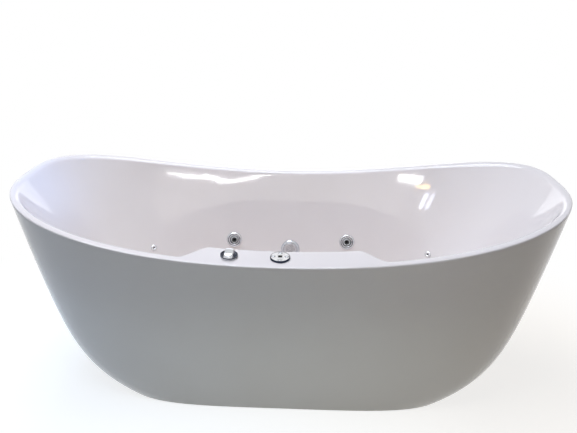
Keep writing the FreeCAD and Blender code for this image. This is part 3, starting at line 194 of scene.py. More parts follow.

# %% [markdown]
# Moulded plastics keep the grain of their mould. Black ABS has a fine spark-eroded grain of about half a millimetre,
# which spreads its highlight, and so it gets a fine bump. White ABS and pipe are smoother and need none. The window
# is nearly black, with a weak shine. The bores get a near black with a weak shine as well, which is painted shade,
# so that they read as depth.

# %% Plastics
white_abs, tree, shader, place = new_material("moulded_abs_white", IOR=1.54)
varied_colour(tree, shader, place, "#e9e8e5", "#efeeeb", 60)
varied_roughness(tree, shader, place, 0.22, 0.34, 200)

black_abs, tree, shader, place = new_material("moulded_abs_black", IOR=1.54)
varied_colour(tree, shader, place, "#141517", "#1d1e21", 80)
varied_roughness(tree, shader, place, 0.35, 0.5, 300)
fine_bump(tree, shader, place, 1800, 0.05, 0.4)

pipe_pvc, tree, shader, place = new_material("extruded_pvc_pipe", IOR=1.53)
varied_colour(tree, shader, place, "#e0dfd8", "#e9e8e2", 30)
varied_roughness(tree, shader, place, 0.3, 0.42, 90)

hose_pvc, tree, shader, place = new_material("clear_pvc_hose", IOR=1.53, Transmission_Weight=0.35)
varied_colour(tree, shader, place, "#cfd8dd", "#dbe3e8", 40)
varied_roughness(tree, shader, place, 0.2, 0.3, 90)

cable_pvc, tree, shader, place = new_material("extruded_pvc_cable", IOR=1.53)
varied_colour(tree, shader, place, "#191919", "#262626", 60)
varied_roughness(tree, shader, place, 0.4, 0.5, 200)

smoked_window, tree, shader, place = new_material("smoked_acrylic_window", IOR=1.49, Specular_IOR_Level=0.15)
varied_colour(tree, shader, place, "#05070e", "#090c15", 150)
varied_roughness(tree, shader, place, 0.03, 0.08, 200)

# Near black for bores, holes and the gaps under plates, which is painted shade.
painted_shade_black, tree, shader, place = new_material("near_black_painted_shade", IOR=1.45)
varied_colour(tree, shader, place, "#070708", "#101112", 200)
varied_roughness(tree, shader, place, 0.25, 0.4, 300)
print("plastics", [finish.name for finish in (white_abs, black_abs, pipe_pvc, hose_pvc, cable_pvc, smoked_window)])

# %% [markdown]
# Below the shell stand zinc-plated steel tubes, a resin-coated chipboard, rubber pads and a powder-coated pump motor.
# Zinc shows pale spangles a few millimetres wide, chipboard shows flakes, and rubber is matt and slightly dusty.
# Crystals and flakes have borders, which soft noise lacks, so these two take their colour from cells.

# %% Steel, board, rubber and paint
zinc, tree, shader, place = new_material("zinc_plated_steel", Metallic=1.0)
celled_colour(tree, shader, place, "#8f9497", "#b3b7b9", 220)
varied_roughness(tree, shader, place, 0.32, 0.5, 150)

chipboard, tree, shader, place = new_material("resin_coated_chipboard", IOR=1.5)
celled_colour(tree, shader, place, "#8f6b41", "#c39b68", 260)
varied_roughness(tree, shader, place, 0.45, 0.65, 90)
fine_bump(tree, shader, place, 400, 0.2, 0.5)

rubber, tree, shader, place = new_material("moulded_rubber", IOR=1.52)
varied_colour(tree, shader, place, "#17181a", "#232425", 60)
varied_roughness(tree, shader, place, 0.6, 0.8, 150)
fine_bump(tree, shader, place, 900, 0.08, 0.5)

motor_paint, tree, shader, place = new_material("powder_coated_steel", IOR=1.5)
varied_colour(tree, shader, place, "#25292e", "#2e3238", 60)
varied_roughness(tree, shader, place, 0.4, 0.55, 200)
fine_bump(tree, shader, place, 1200, 0.06, 0.5)

cast_aluminium, tree, shader, place = new_material("die_cast_aluminium", Metallic=1.0)
varied_colour(tree, shader, place, "#9b9da0", "#b0b2b4", 80)
varied_roughness(tree, shader, place, 0.35, 0.5, 250)
fine_bump(tree, shader, place, 1500, 0.06, 0.5)
print("materials", len(bpy.data.materials))

# %% [markdown]
# ## Which finish goes on which piece
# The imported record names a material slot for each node. Each slot has one finish here, so a node that keeps its own
# mesh takes the finish of its slot. Naming the finish once for each slot is shorter than once for each node, and no
# node is forgotten.

# %% Finish of each node
FINISH = {
    "white_acrylic": acrylic, "chrome": chrome, "white_abs": white_abs, "black_abs": black_abs, "clear_pvc": hose_pvc,
    "white_pvc": pipe_pvc, "chipboard": chipboard, "zinc_steel": zinc, "motor_paint": motor_paint,
    "aluminium_casting": cast_aluminium, "rubber": rubber, "display_window": smoked_window, "cable_pvc": cable_pvc,
}
for entry in frame["record"]["subparts"]:
    mesh = frame["nodes"][entry["node"]].data
    mesh.materials.clear()
    mesh.materials.append(FINISH[entry["material_slot"]])

# %% [markdown]
# ## From a shape to a piece
# A shape is built as a bmesh, which is quick to edit, and becomes an object when it is done. Faces are shaded smooth,
# and only edges sharper than a crease angle stay hard, because a moulded wall is one smooth face and its corner isn't.
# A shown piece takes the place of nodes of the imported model. A plain piece only adds detail.

# %% Pieces
def finished(name, shape, materials, crease):
    """An object with the shape's mesh: smooth, but for edges sharper than the crease angle."""
    for face in shape.faces:
        face.smooth = True
    for edge in shape.edges:
        edge.smooth = not edge.is_manifold or math.degrees(edge.calc_face_angle(0)) < crease
    mesh = bpy.data.meshes.new(name)
    shape.to_mesh(mesh)
    shape.free()
    for material in materials:
        mesh.materials.append(material)
    piece = bpy.data.objects.new(name, mesh)
    bpy.context.scene.collection.objects.link(piece)
    return piece


def shown(name, shape, body, materials, nodes, crease=32):
    """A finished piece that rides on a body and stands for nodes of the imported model."""
    piece = finished(name, shape, materials, crease)
    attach(piece, body)
    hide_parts(*nodes)
    return piece


def plain_piece(name, shape, body, material, crease=32):
    """A small piece that adds detail and stands for no node."""
    piece = finished(name, shape, [material], crease)
    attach(piece, body)
    return piece


def triangles(piece):
    return sum(len(face.vertices) - 2 for face in piece.data.polygons)


# %% [markdown]
# ## The form of the bath
# Bath and basin are ovals that change with height: a length, a width and an exponent that says how square the oval
# is. The rim dips in one arc from end to end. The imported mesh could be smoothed, but its facets would show in every
# reflection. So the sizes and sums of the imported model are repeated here, and a smooth shell follows them.

# %% Sizes of the form, in millimetres
tub_length, rim_half_width, rim_height_end, rim_height_middle = 1700, 390, 721.5, 604
foot_half_length, foot_half_width, rim_exponent, foot_exponent = 561.5, 255, 2.87, 4.25
end_straight_share, end_flare_power, side_straight_share, side_flare_power = 0.518, 7, 0.968, 18
apron_wall, apron_floor_gap, apron_flange_width, apron_flange_thickness = 5, 3, 20, 5
lip_height, glue_gap, rim_outer_roll, rim_inner_roll, rim_land_side, rim_land_end = 8, 0.3, 5, 9, 25, 15
basin_wall, basin_floor, basin_half_length, basin_half_width = 8, 135, 470, 200
basin_exponent, basin_floor_roll, backrest_power = 2.6, 60, 1.1
deck_depth, deck_half_length, deck_blend, deck_drop, deck_margin, deck_power = 69, 205, 85, 332, 30, 1.5

half_length = tub_length / 2
rim_rise = rim_height_end - rim_height_middle
rim_radius = (half_length**2 + rim_rise**2) / (2 * rim_rise)
print("rim arc radius", round(rim_radius), "mm")


# %% The form's rules
def eased(share):
    """A share kept between 0 and 1, without a kink at either end."""
    share = min(1, max(0, share))
    return share * share * (3 - 2 * share)


def rim_height(x):
    return rim_height_middle + rim_radius - math.sqrt(rim_radius**2 - x**2)


def flared(top, foot, straight_share, power, z):
    left = 1 - z / rim_height_end
    return top - (top - foot) * (straight_share * left + (1 - straight_share) * max(0, left) ** power)


def outer_form(z):
    """Half length, half width and exponent of the apron at a height."""
    return (flared(half_length, foot_half_length, end_straight_share, end_flare_power, z),
            flared(rim_half_width, foot_half_width, side_straight_share, side_flare_power, z),
            foot_exponent + (rim_exponent - foot_exponent) * z / rim_height_end)


side_top = outer_form(rim_height_middle)[1] - rim_land_side
side_slope = (side_top - basin_half_width) / (rim_height_middle - basin_floor)


def inner_form(z):
    """The same for the basin."""
    share = (z - basin_floor) / (rim_height_end - basin_floor)
    top = half_length - rim_land_end
    return (top - (top - basin_half_length) * max(0, 1 - share) ** backrest_power,
            side_top - side_slope * (rim_height_middle - z),
            basin_exponent + (rim_exponent - basin_exponent) * share)


def deck_inward(x, z):
    """How far the flat deck for the controls stands in from the side wall."""
    reach = deck_depth * max(0, 1 + (z - rim_height_middle) / deck_drop) ** deck_power
    return reach * eased((deck_half_length + deck_blend - abs(x)) / deck_blend)


print("rim height at an end", round(rim_height(half_length), 1), "mm")

# %% [markdown]
# ## Skinning a form
# A shell is made the way a basket is woven, from one hoop to the next. The first hoop is a closed ring of edges. Each
# next hoop is an extrusion of the last one, moved to its own height and size. Hoops share their number of points,
# closer together along the deck, where the wall turns quickly. A subdivided cage would need fewer points, but it
# pulls away from the sums that the fittings' seats are worked out from, and hoops lie on them exactly.

# %% Hoops
ROUND_POINTS, DECK_POINTS, SETTLING_STEPS = 330, 150, 14
deck_end = deck_half_length + deck_blend + deck_margin


def hoop(form, height, grow=0, deck=False):
    """The points of one closed curve round the bath. height(x) is a rule, so a hoop may rise and fall with the rim.

    Then a point's height and reach depend on each other, and they are worked out in turn until they settle.
    """
    length, width, exponent = form(height(deck_end))
    start = math.atan2((1 - (deck_end / (length + grow)) ** exponent) ** (1 / exponent), deck_end / (length + grow))
    points = []
    for i in range(1, ROUND_POINTS):
        turn = (math.pi + 2 * start) * i / ROUND_POINTS - start
        x = 0
        for _ in range(SETTLING_STEPS):
            length, width, exponent = form(height(x))
            reach = (abs(math.cos(turn)) ** exponent + abs(math.sin(turn)) ** exponent) ** (-1 / exponent)
            x = (length + grow) * math.cos(turn) * reach
        points.append((x, (width + grow) * math.sin(turn) * reach, height(x)))
    for i in range(DECK_POINTS + 1):
        x = deck_end * (2 * i / DECK_POINTS - 1)
        length, width, exponent = form(height(x))
        y = -(width + grow) * (1 - abs(x / (length + grow)) ** exponent) ** (1 / exponent)
        points.append((x, y + (deck_inward(x, height(x)) if deck else 0), height(x)))
    return [Vector(point) / 1000 for point in points]


def level(z):
    return lambda x: z


def under_rim(drop):
    return lambda x: rim_height(x) - drop


def between(low, drop, share):
    return lambda x: low + (rim_height(x) - drop - low) * share


def quarter(steps):
    return [math.pi / 2 * i / steps for i in range(steps + 1)]


def skinned(hoops):
    """A mesh that runs from hoop to hoop, and the points of its last hoop."""
    shell = bmesh.new()
    ring = [shell.verts.new(point) for point in hoops[0]]
    edges = [shell.edges.new((ring[i - 1], ring[i])) for i in range(len(ring))]
    for points in hoops[1:]:
        made = bmesh.ops.extrude_edge_only(shell, edges=edges)["geom"]
        edges = [item for item in made if isinstance(item, bmesh.types.BMEdge)]
        new_verts = {item for item in made if isinstance(item, bmesh.types.BMVert)}
        ring = [next(edge.other_vert(vert) for edge in vert.link_edges if edge.other_vert(vert) in new_verts)
                for vert in ring]
        for vert, point in zip(ring, points):
            vert.co = point
        edges = [shell.edges.get((ring[i - 1], ring[i])) for i in range(len(ring))]
    return shell, ring


print("points of a hoop", len(hoop(inner_form, level(rim_height_middle))))

# %% [markdown]
# ## Basin shell
# The basin is the white inside of the bath with its rolled rim. Its wall rises from a wide curve at the floor, turns
# over the rim, and ends in a lip that hangs over the apron. Behind it the same hoops run down again one wall thickness
# away, so the shell is closed and has its true thickness at the holes. The floor is closed with rings that shrink to
# the middle, because one large flat face would break the reflections where it meets the curve.

# %% Hoops of the basin, from the middle of the floor to the lip
FLOOR_RINGS, FLOOR_ROLL_RINGS, WALL_RINGS, RIM_ROLL_RINGS, LIP_ROLL_RINGS = 34, 10, 62, 8, 6
BACK_WALL_RINGS, BACK_ROLL_RINGS = 14, 5


def shrunk(points, share):
    return [Vector((point.x * share, point.y * share, point.z)) for point in points]


def bowl(grow, floor, roll, drop, walls, rolls):
    """Hoops from the edge of the floor, round its roll and up the wall."""
    hoops = [hoop(inner_form, level(floor + roll * (1 - math.cos(turn))), grow - roll * (1 - math.sin(turn)), True)
             for turn in quarter(rolls)]
    return hoops + [hoop(inner_form, between(floor + roll, drop, i / walls), grow, True) for i in range(1, walls + 1)]


def rim_roll(form, radius, grow, deck, steps):
    """Hoops round a quarter turn at the top of the rim."""
    return [hoop(form, under_rim(radius * (1 - math.sin(turn))), grow * (1 - math.cos(turn)), deck)
            for turn in quarter(steps)]


inside = bowl(0, basin_floor, basin_floor_roll, rim_inner_roll, WALL_RINGS, FLOOR_ROLL_RINGS)
floor_rings = [shrunk(inside[0], (i + 0.5) / FLOOR_RINGS) for i in range(FLOOR_RINGS)]
rim_rings = rim_roll(inner_form, rim_inner_roll, rim_inner_roll, True, RIM_ROLL_RINGS)[1:]
lip_rings = rim_roll(outer_form, rim_outer_roll, -rim_outer_roll, False, LIP_ROLL_RINGS)[::-1]
lip_edge = hoop(outer_form, under_rim(lip_height))
back = bowl(basin_wall, basin_floor - basin_wall, basin_floor_roll + basin_wall, lip_height, BACK_WALL_RINGS,
            BACK_ROLL_RINGS)[::-1]
basin, last_ring = skinned(floor_rings + inside + rim_rings + lip_rings + [lip_edge] + back)
bmesh.ops.contextual_create(basin, geom=last_ring)
bmesh.ops.holes_fill(basin, edges=[edge for edge in basin.edges if edge.is_boundary], sides=0)
print("basin faces", len(basin.faces))

# %% [markdown]
# ## Seats
# Each fitting sits square on the wall at its place, and the wall leans by another angle at each height. So a seat is
# a frame with its own middle and its Z axis along the wall's slope. The slope is measured with small steps to either
# side of the point, which works for any form and needs no derivative. The last lines measure how far the seats of the
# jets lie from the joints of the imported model: it should be almost nothing.

# %% Seats of the fittings
JET_HEIGHT, SMALL_JET_HEIGHT, SUCTION_HEIGHT, OVERFLOW_HEIGHT = 350, 347, 315, 520
JET_FROM_MIDDLE, SMALL_JET_FROM_MIDDLE = {"back": 220, "front": 365}, 518
KNOB_PLACE, KEYPAD_PLACE = (-148, -321), (-8, -317)
SIDES, ROWS = {"left": -1, "right": 1}, {"back": 1, "front": -1}
GAUGE_STEPS = [Vector((0.5, 0, 0)), Vector((0, 0.5, 0)), Vector((0, 0, 0.5))]


def wall_gauge(point):
    """Below 0 inside the basin, 0 on its side wall."""
    length, width, exponent = inner_form(point.z)
    return abs(point.x / length) ** exponent + abs(point.y / width) ** exponent - 1


def seat_frame(point, outward, along=Vector((1, 0, 0))):
    """A frame at a point, in millimetres, whose Z axis points outward, away from the wall."""
    outward = outward.normalized()
    third = outward.cross(along).normalized()
    return Matrix.Translation(point) @ Matrix((third.cross(outward), third, outward)).transposed().to_4x4()


def wall_seat(x, z, side):
    length, width, exponent = inner_form(z)
    point = Vector((x, side * width * (1 - abs(x / length) ** exponent) ** (1 / exponent), z))
    slope = Vector([wall_gauge(point + step) - wall_gauge(point - step) for step in GAUGE_STEPS])
    return seat_frame(point, -slope)


def rim_seat(x, y):
    slope = x / math.sqrt(rim_radius**2 - x**2)
    return seat_frame(Vector((x, y, rim_height(x))), Vector((-slope, 0, 1)))


def deck_face(z):
    """Y of the deck's front in the middle of the bath."""
    return deck_inward(0, z) - inner_form(z)[1]


jet_seats = {f"jet_{row}_{side}": wall_seat(JET_FROM_MIDDLE[row] * sign, JET_HEIGHT, depth)
             for row, depth in ROWS.items() for side, sign in SIDES.items()}
small_seats = {f"small_jet_{row}_{side}": wall_seat(SMALL_JET_FROM_MIDDLE * sign, SMALL_JET_HEIGHT, depth)
               for row, depth in ROWS.items() for side, sign in SIDES.items()}
suction_seat = wall_seat(0, SUCTION_HEIGHT, ROWS["back"])
overflow_slope = deck_face(OVERFLOW_HEIGHT - 1) - deck_face(OVERFLOW_HEIGHT + 1)
overflow_seat = seat_frame(Vector((0, deck_face(OVERFLOW_HEIGHT), OVERFLOW_HEIGHT)), Vector((0, 2, overflow_slope)))
drain_seat = Matrix.Translation((0, 0, basin_floor))
knob_seat, keypad_seat = rim_seat(*KNOB_PLACE), rim_seat(*KEYPAD_PLACE)
for name, seat in jet_seats.items():
    apart = seat.translation - Vector(joints[name + "_flow"]["pos_m"]) * 1000
    print(name, "lies", round(apart.length, 3), "mm from its joint")

# %% [markdown]
# ## Holes
# Round holes are opened where fittings pass through. A boolean cut leaves long thin triangles in a curved wall, and
# they show as scratches in the gloss. Here the faces within the hole are taken out, and the points of the edge that
# is left are moved onto a circle. The fittings' flanges hide what is uneven. Faces more than a little beyond the
# radius belong to another part of the shell and are left alone.

# %% Open the basin's holes
JET_HOLE, SUCTION_HOLE, OVERFLOW_HOLE, DRAIN_HOLE = 22, 27, 18, 24
FACE_REACH, EDGE_REACH = 1.2, 1.6
SHELL_CREASE = 50


def open_hole(shell, seat, radius):
    """Takes out the faces within a radius of a seat's axis and rounds the edge that is left."""
    centre, axis = seat.translation / 1000, seat.col[2].to_3d()
    radius /= 1000

    def aside(point):
        apart = point - centre
        return apart - axis * apart.dot(axis)

    near = [face for face in shell.faces if (face.calc_center_median() - centre).length < radius * FACE_REACH
            and aside(face.calc_center_median()).length < radius]
    bmesh.ops.delete(shell, geom=near, context="FACES")
    edge_points = {vert for edge in shell.edges if edge.is_boundary for vert in edge.verts
                   if (vert.co - centre).length < radius * EDGE_REACH}
    for vert in edge_points:
        vert.co += aside(vert.co) * (radius / aside(vert.co).length - 1)


for seat in jet_seats.values():
    open_hole(basin, seat, JET_HOLE)
open_hole(basin, suction_seat, SUCTION_HOLE)
open_hole(basin, overflow_seat, OVERFLOW_HOLE)
open_hole(basin, drain_seat, DRAIN_HOLE)
bmesh.ops.recalc_face_normals(basin, faces=basin.faces)
basin_piece = shown("basin_shell_skin", basin, "tub", [acrylic], ["basin_shell"], SHELL_CREASE)
print("basin triangles", triangles(basin_piece))

# %% [markdown]
# ## Apron
# The apron is the outer shell that reaches down to the floor. It is a separate moulding, bonded under the lip, so a
# hair's breadth of shadow runs under the rim. It flares out quickly near its foot and then rises almost straight.
# Its hoops lie closer together near the foot, where it bends most. The skin is closed on itself: outside, inside and
# the flange at its foot. One skin would look the same from outside, but it would have no thickness at the lip.

# %% Hoops of the apron
APRON_RINGS, LINING_RINGS, CROWDING = 54, 12, 1.5
top = lip_height + glue_gap
flange_top = apron_floor_gap + apron_flange_thickness
flange_edge = -apron_wall - apron_flange_width


def crowded(rings):
    """Shares of the height that lie closer together near the foot."""
    return [(i / rings) ** CROWDING for i in range(rings + 1)]


outside = [hoop(outer_form, between(apron_floor_gap, top, share)) for share in crowded(APRON_RINGS)]
lining = [hoop(outer_form, between(flange_top, top, share), -apron_wall) for share in crowded(LINING_RINGS)[::-1]]
flange = [hoop(outer_form, level(z), flange_edge) for z in (flange_top, apron_floor_gap)]
apron, last_ring = skinned(outside + lining + flange)
bmesh.ops.bridge_loops(apron, edges=[edge for edge in apron.edges if edge.is_boundary])
bmesh.ops.recalc_face_normals(apron, faces=apron.faces)
apron_piece = shown("outer_apron_skin", apron, "tub", [acrylic], ["outer_apron"], SHELL_CREASE)
print("apron triangles", triangles(apron_piece))

# %% [markdown]
# ## Turned fittings
# Jets, covers, caps and rings are round, so each is drawn as half a section and spun about its seat's axis. A section
# is a list of corners, each a radius and a height above the wall. A lathe does the same to metal, so the steps and
# rolls come out as on the real piece. A bevel on the sharp corners catches a thin line of light, as a moulded edge
# does.

# %% Spinning a section
MERGE_DISTANCE, BEVEL_ANGLE = 1e-4, 35


def spun(section, seat, steps, bevel=0.0):
    """A closed mesh turned from a section. With a bevel, its sharp corners are cut by that much."""
    piece = bmesh.new()
    corners = [piece.verts.new((radius, 0, height)) for radius, height in section]
    edges = [piece.edges.new(pair) for pair in zip(corners, corners[1:])]
    bmesh.ops.spin(piece, geom=corners + edges, cent=(0, 0, 0), axis=(0, 0, 1), angle=2 * math.pi, steps=steps,
                   use_merge=True, use_duplicate=False)
    bmesh.ops.remove_doubles(piece, verts=piece.verts, dist=MERGE_DISTANCE)
    bmesh.ops.recalc_face_normals(piece, faces=piece.faces)
    if bevel:
        sharp = [edge for edge in piece.edges if edge.is_manifold and
                 math.degrees(edge.calc_face_angle(0)) > BEVEL_ANGLE]
        bmesh.ops.bevel(piece, geom=sharp, offset=bevel, affect="EDGES", segments=2, profile=0.5, material=-1,
                        clamp_overlap=True)
    piece.transform(Matrix.Scale(0.001, 4) @ seat)
    return piece


# %% [markdown]
# ## Large jets
# Each large jet is a plated ring that opens and shuts its water, with a small ball in the middle that aims it. The
# ring has a broad rolled edge, a groove, a flat band and a well. The ball has a bright rim, a black ring and a hole a
# little more than a centimetre wide. Both ride on their own bodies, so they can turn. The groove and the well are faces
# of the same ring in the darker chrome, which is painted shade, picked out by their radius and height: a separate ring
# would leave a seam that the real moulding hasn't. The ball's black ring and its hole share one near black: the ring's
# own black, and painted shade for the hole's depth. A near-black disc inside the bore is painted shade too.

# %% Rings and nozzles
RING_SECTION = [(19, 3.3), (28.2, 3.3), (28.2, 1.4), (29.5, 1.4), (29.5, 3.6), (28.9, 5.4), (27.4, 7.2), (25.2, 8.2),
                (23.6, 8.0), (22.9, 6.4), (21.9, 6.4), (21.4, 7.6), (17.6, 7.9), (16.6, 7.0), (15.2, 3.0),
                (14.45, -1.0), (14.8, -6.5), (19, -6.5), (19, 3.3)]
NOZZLE_SECTION = [(6.0, -11), (8.6, -13), (12.2, -9), (13.9, -3), (13.9, 1.5), (12.9, 5.6), (11.5, 8.6),
                  (10.2, 9.0), (9.3, 7.4), (6.6, 6.6), (6.0, 5.6), (6.0, -11)]
BORE_SECTION = [(0, -9.5), (5.95, -9.5), (5.95, -9.2), (0, -9.2)]
GROOVE_INNER, GROOVE_OUTER, GROOVE_FLOOR = 21.2, 23.1, 5.8
WELL_RADIUS, WELL_TOP, MOUTH_RADIUS, MOUTH_TOP = 16.6, 7.2, 9.2, 7.6


def from_axis(point, seat):
    """How far a point stands from a seat's axis, and how high above the seat, in millimetres."""
    apart = point * 1000 - seat.translation
    height = apart.dot(seat.col[2].to_3d())
    return (apart - seat.col[2].to_3d() * height).length, height


# The groove and the well take painted shade.
def ring_in_painted_shade(across, height):
    return GROOVE_INNER < across < GROOVE_OUTER and height > GROOVE_FLOOR or across < WELL_RADIUS and height < WELL_TOP


# The mouth takes near black: the ring's own black, and painted shade for the hole's depth.
def nozzle_in_painted_shade(across, height):
    return across < MOUTH_RADIUS and height < MOUTH_TOP


for name, seat in jet_seats.items():
    ring = shown(name + "_ring_turned", spun(RING_SECTION, seat, 72, 0.25), name + "_ring",
                 [satin_chrome, painted_shade_chrome], [name + "_ring"])
    nozzle = shown(name + "_nozzle_turned", spun(NOZZLE_SECTION, seat, 48, 0.2), name + "_nozzle",
                   [white_abs, painted_shade_black], [name + "_nozzle"])
    # Faces picked out by these masks take painted shade.
    for piece, in_painted_shade in ((ring, ring_in_painted_shade), (nozzle, nozzle_in_painted_shade)):
        for face in piece.data.polygons:
            face.material_index = int(in_painted_shade(*from_axis(face.center, seat)))
    # A near-black disc in the bore: painted shade.
    plain_piece(name + "_bore", spun(BORE_SECTION, seat, 24), name + "_nozzle", painted_shade_black)
print("large jets", len(jet_seats))

# %% [markdown]
# ## Small jets
# The small jets at the two ends are a plain plated dome, no wider than a thumbnail, with a hole in its middle. They
# do not turn. A dark disc just inside the hole is painted shade that stands for its depth: the shell is not cut there,
# because a hole narrower than the shell's own faces would need a finer shell all round.

# %% Small jets
SMALL_SECTION = [(3.2, 0.9), (10.6, 0.9), (11, 1.3), (11, 2.2), (10.2, 3.1), (8.6, 3.8), (6.6, 4.0), (4.4, 3.7),
                 (3.4, 2.9), (3.2, 0.9)]
SMALL_BORE = [(0, 0.95), (3.6, 0.95), (3.6, 1.2), (0, 1.2)]
for name, seat in small_seats.items():
    shown(name + "_dome", spun(SMALL_SECTION, seat, 40), "tub", [satin_chrome], [name])
    # A near-black disc just inside the hole: painted shade.
    plain_piece(name + "_bore", spun(SMALL_BORE, seat, 24), "tub", painted_shade_black)
print("small jets", len(small_seats))

# %% [markdown]
# ## Suction cover
# The pump draws its water through a plated cover low on the wall. Its rolled edge stands around a flat, perforated
# plate, so that hair and hands are not drawn in. The holes are set out on rings and go right through. They are drawn
# as outlines inside the plate's outline, and one fill leaves them open, which is cleaner than boolean cuts.

# %% Suction cover
COVER_EDGE = [(27.5, 1.6), (32.4, 1.2), (36, 1.2), (36, 3.6), (35.2, 5.6), (33.4, 7.4), (31.2, 8.4), (29.4, 8.6),
              (28.0, 7.9), (27.4, 6.6), (26.6, 6.6), (26.0, 7.9), (24.6, 8.3), (23.0, 8.0), (22.2, 6.6), (22.2, 5.2),
              (27.5, 5.2), (27.5, 1.6)]
# A near-black disc behind the grille: painted shade for the space under the plate.
PAINTED_SHADE_DISC = [(0, 2.2), (21.8, 2.2), (21.8, 2.6), (0, 2.6)]
HOLE_RINGS, HOLE_RADIUS, PLATE_CORNERS = ((6, 5.6), (12, 11.0), (18, 16.4)), 1.35, 72


def round_outline(x, y, radius, corners):
    turns = [2 * math.pi * (i + 0.5) / corners for i in range(corners)]
    return [Vector((x + radius * math.cos(turn), y + radius * math.sin(turn), 0)) for turn in turns]


def ring_of_holes(count, circle, radius, corners):
    turns = [2 * math.pi * i / count for i in range(count)]
    return [round_outline(circle * math.cos(turn), circle * math.sin(turn), radius, corners) for turn in turns]


def pierced_plate(radius, thickness, height, seat, outlines):
    """A round plate with holes of the given outlines. The fill leaves the holes open."""
    plate = bmesh.new()
    for outline in [round_outline(0, 0, radius, PLATE_CORNERS), *outlines]:
        verts = [plate.verts.new(point) for point in outline]
        for pair in zip(verts, verts[1:] + verts[:1]):
            plate.edges.new(pair)
    bmesh.ops.triangle_fill(plate, use_beauty=True, use_dissolve=False, edges=plate.edges)
    bmesh.ops.recalc_face_normals(plate, faces=plate.faces)
    if plate.faces[:][0].normal.z < 0:
        bmesh.ops.reverse_faces(plate, faces=plate.faces)
    raised = bmesh.ops.extrude_face_region(plate, geom=list(plate.faces), use_keep_orig=True)["geom"]
    bmesh.ops.translate(plate, verts=[item for item in raised if isinstance(item, bmesh.types.BMVert)],
                        vec=(0, 0, thickness))
    bmesh.ops.recalc_face_normals(plate, faces=plate.faces)
    plate.transform(Matrix.Scale(0.001, 4) @ seat @ Matrix.Translation((0, 0, height)))
    return plate


shown("suction_cover_turned", spun(COVER_EDGE, suction_seat, 96, 0.2), "tub", [chrome], ["suction_cover"])
grille_holes = [hole for count, circle in HOLE_RINGS for hole in ring_of_holes(count, circle, HOLE_RADIUS, 8)]
plain_piece("suction_grille", pierced_plate(22.6, 1.4, 5.2, suction_seat, grille_holes), "tub", satin_chrome)
# The disc behind the grille is painted shade.
plain_piece("suction_painted_shade", spun(PAINTED_SHADE_DISC, suction_seat, 32), "tub", painted_shade_black)
print("holes in the suction plate", len(grille_holes))

# %% [markdown]
# ## Air control
# The air control is a cap on the deck. Turning it lets air into the jets. Two scoops are pressed into its sides, so
# that a bar is left across the middle for finger and thumb. The cap is spun first and its top is then pushed down
# on both sides of the bar, with an eased edge, as in a pressed part. A groove runs round its foot. Scoops and groove
# lie in shade on the photograph, so their faces take the darker chrome, which is painted shade.

# %% Air control cap
KNOB_SECTION = [(9, 2.6), (21.5, 2.6), (21.5, 1.0), (23.7, 1.0), (24, 1.4), (24, 4.2), (22.6, 4.6), (22.6, 7.0),
                (24, 7.4), (23.8, 9.2), (23.3, 11.2), (22.4, 13.0), (21.0, 14.6), (19.0, 15.8), (17.4, 16.3),
                (15.8, 16.7), (14.2, 17.0), (12.6, 17.2), (11, 17.3), (9.4, 17.4), (7.8, 17.5), (6.2, 17.5),
                (4.6, 17.5), (3.0, 17.5), (1.4, 17.5), (0, 17.5)]
BAR_HALF_WIDTH, SCOOP_EDGE, SCOOP_DEPTH, SCOOP_FOOT, SCOOP_RISE = 11.0, 3.0, 8.8, 8, 6
SHADE_FROM_BAR, SHADE_FOOT = 1.2, 7.6
KNOB_GROOVE_RADIUS, KNOB_GROOVE_LOW, KNOB_GROOVE_HIGH = 23.6, 4.3, 7.3

knob = spun(KNOB_SECTION, Matrix.Identity(4), 120)
for vert in knob.verts:
    x, y, z = vert.co * 1000
    if z > SCOOP_FOOT:
        beside_bar = eased((abs(x) - BAR_HALF_WIDTH) / SCOOP_EDGE)
        vert.co.z -= SCOOP_DEPTH / 1000 * beside_bar * min(1, (z - SCOOP_FOOT) / SCOOP_RISE)
# Faces in the scoops and the groove take the darker chrome: painted shade.
for face in knob.faces:
    x, y, z = face.calc_center_median() * 1000
    in_scoop = abs(x) > BAR_HALF_WIDTH + SHADE_FROM_BAR and z > SHADE_FOOT
    in_groove = math.hypot(x, y) < KNOB_GROOVE_RADIUS and KNOB_GROOVE_LOW < z < KNOB_GROOVE_HIGH
    face.material_index = int(in_scoop or in_groove)
knob.transform(Matrix.Scale(0.001, 4) @ knob_seat @ Matrix.Scale(1000, 4))
cap = shown("air_knob_cap", knob, "air_knob", [chrome, painted_shade_chrome], ["air_knob"], 45)
print("air control triangles", triangles(cap))

# %% [markdown]
# ## Keypad
# The keypad is a plated disc with a sloping edge in the darker chrome, which is painted shade, four round keys and a
# small window for its display. The keys are pieces of their own, because each one moves when it is pressed, so the
# plate has a hole for each. The plate is filled from outlines as the suction plate is, and a near-black floor below,
# painted shade, closes the gaps.

# %% Keypad
KEYPAD_EDGE = [(25.2, 0.5), (27.4, 0.5), (28, 1.1), (28, 3.0), (27.7, 4.2), (27.0, 5.4), (26.4, 6.0), (25.8, 6.0),
               (25.2, 5.5), (25.2, 0.5)]
BUTTON_SECTION = [(0, 2.6), (4.3, 2.6), (4.5, 2.8), (4.5, 5.8), (4.2, 6.4), (3.6, 6.6), (2.6, 6.45), (1.2, 6.3),
                  (0, 6.25)]
PAINTED_SHADE_FLOOR = [(0, 0.6), (25.1, 0.6), (25.1, 1.2), (0, 1.2)]
WINDOW_SIZE, WINDOW_TOP, WINDOW_GAP, WINDOW_EDGE = (11.6, 11, 1.5), 6, 0.25, 0.5
KEY_PLACES, KEY_HOLE = {"left": (-18.5, 0), "right": (18.5, 0), "front": (0, -18.5), "back": (0, 18.5)}, 5.9

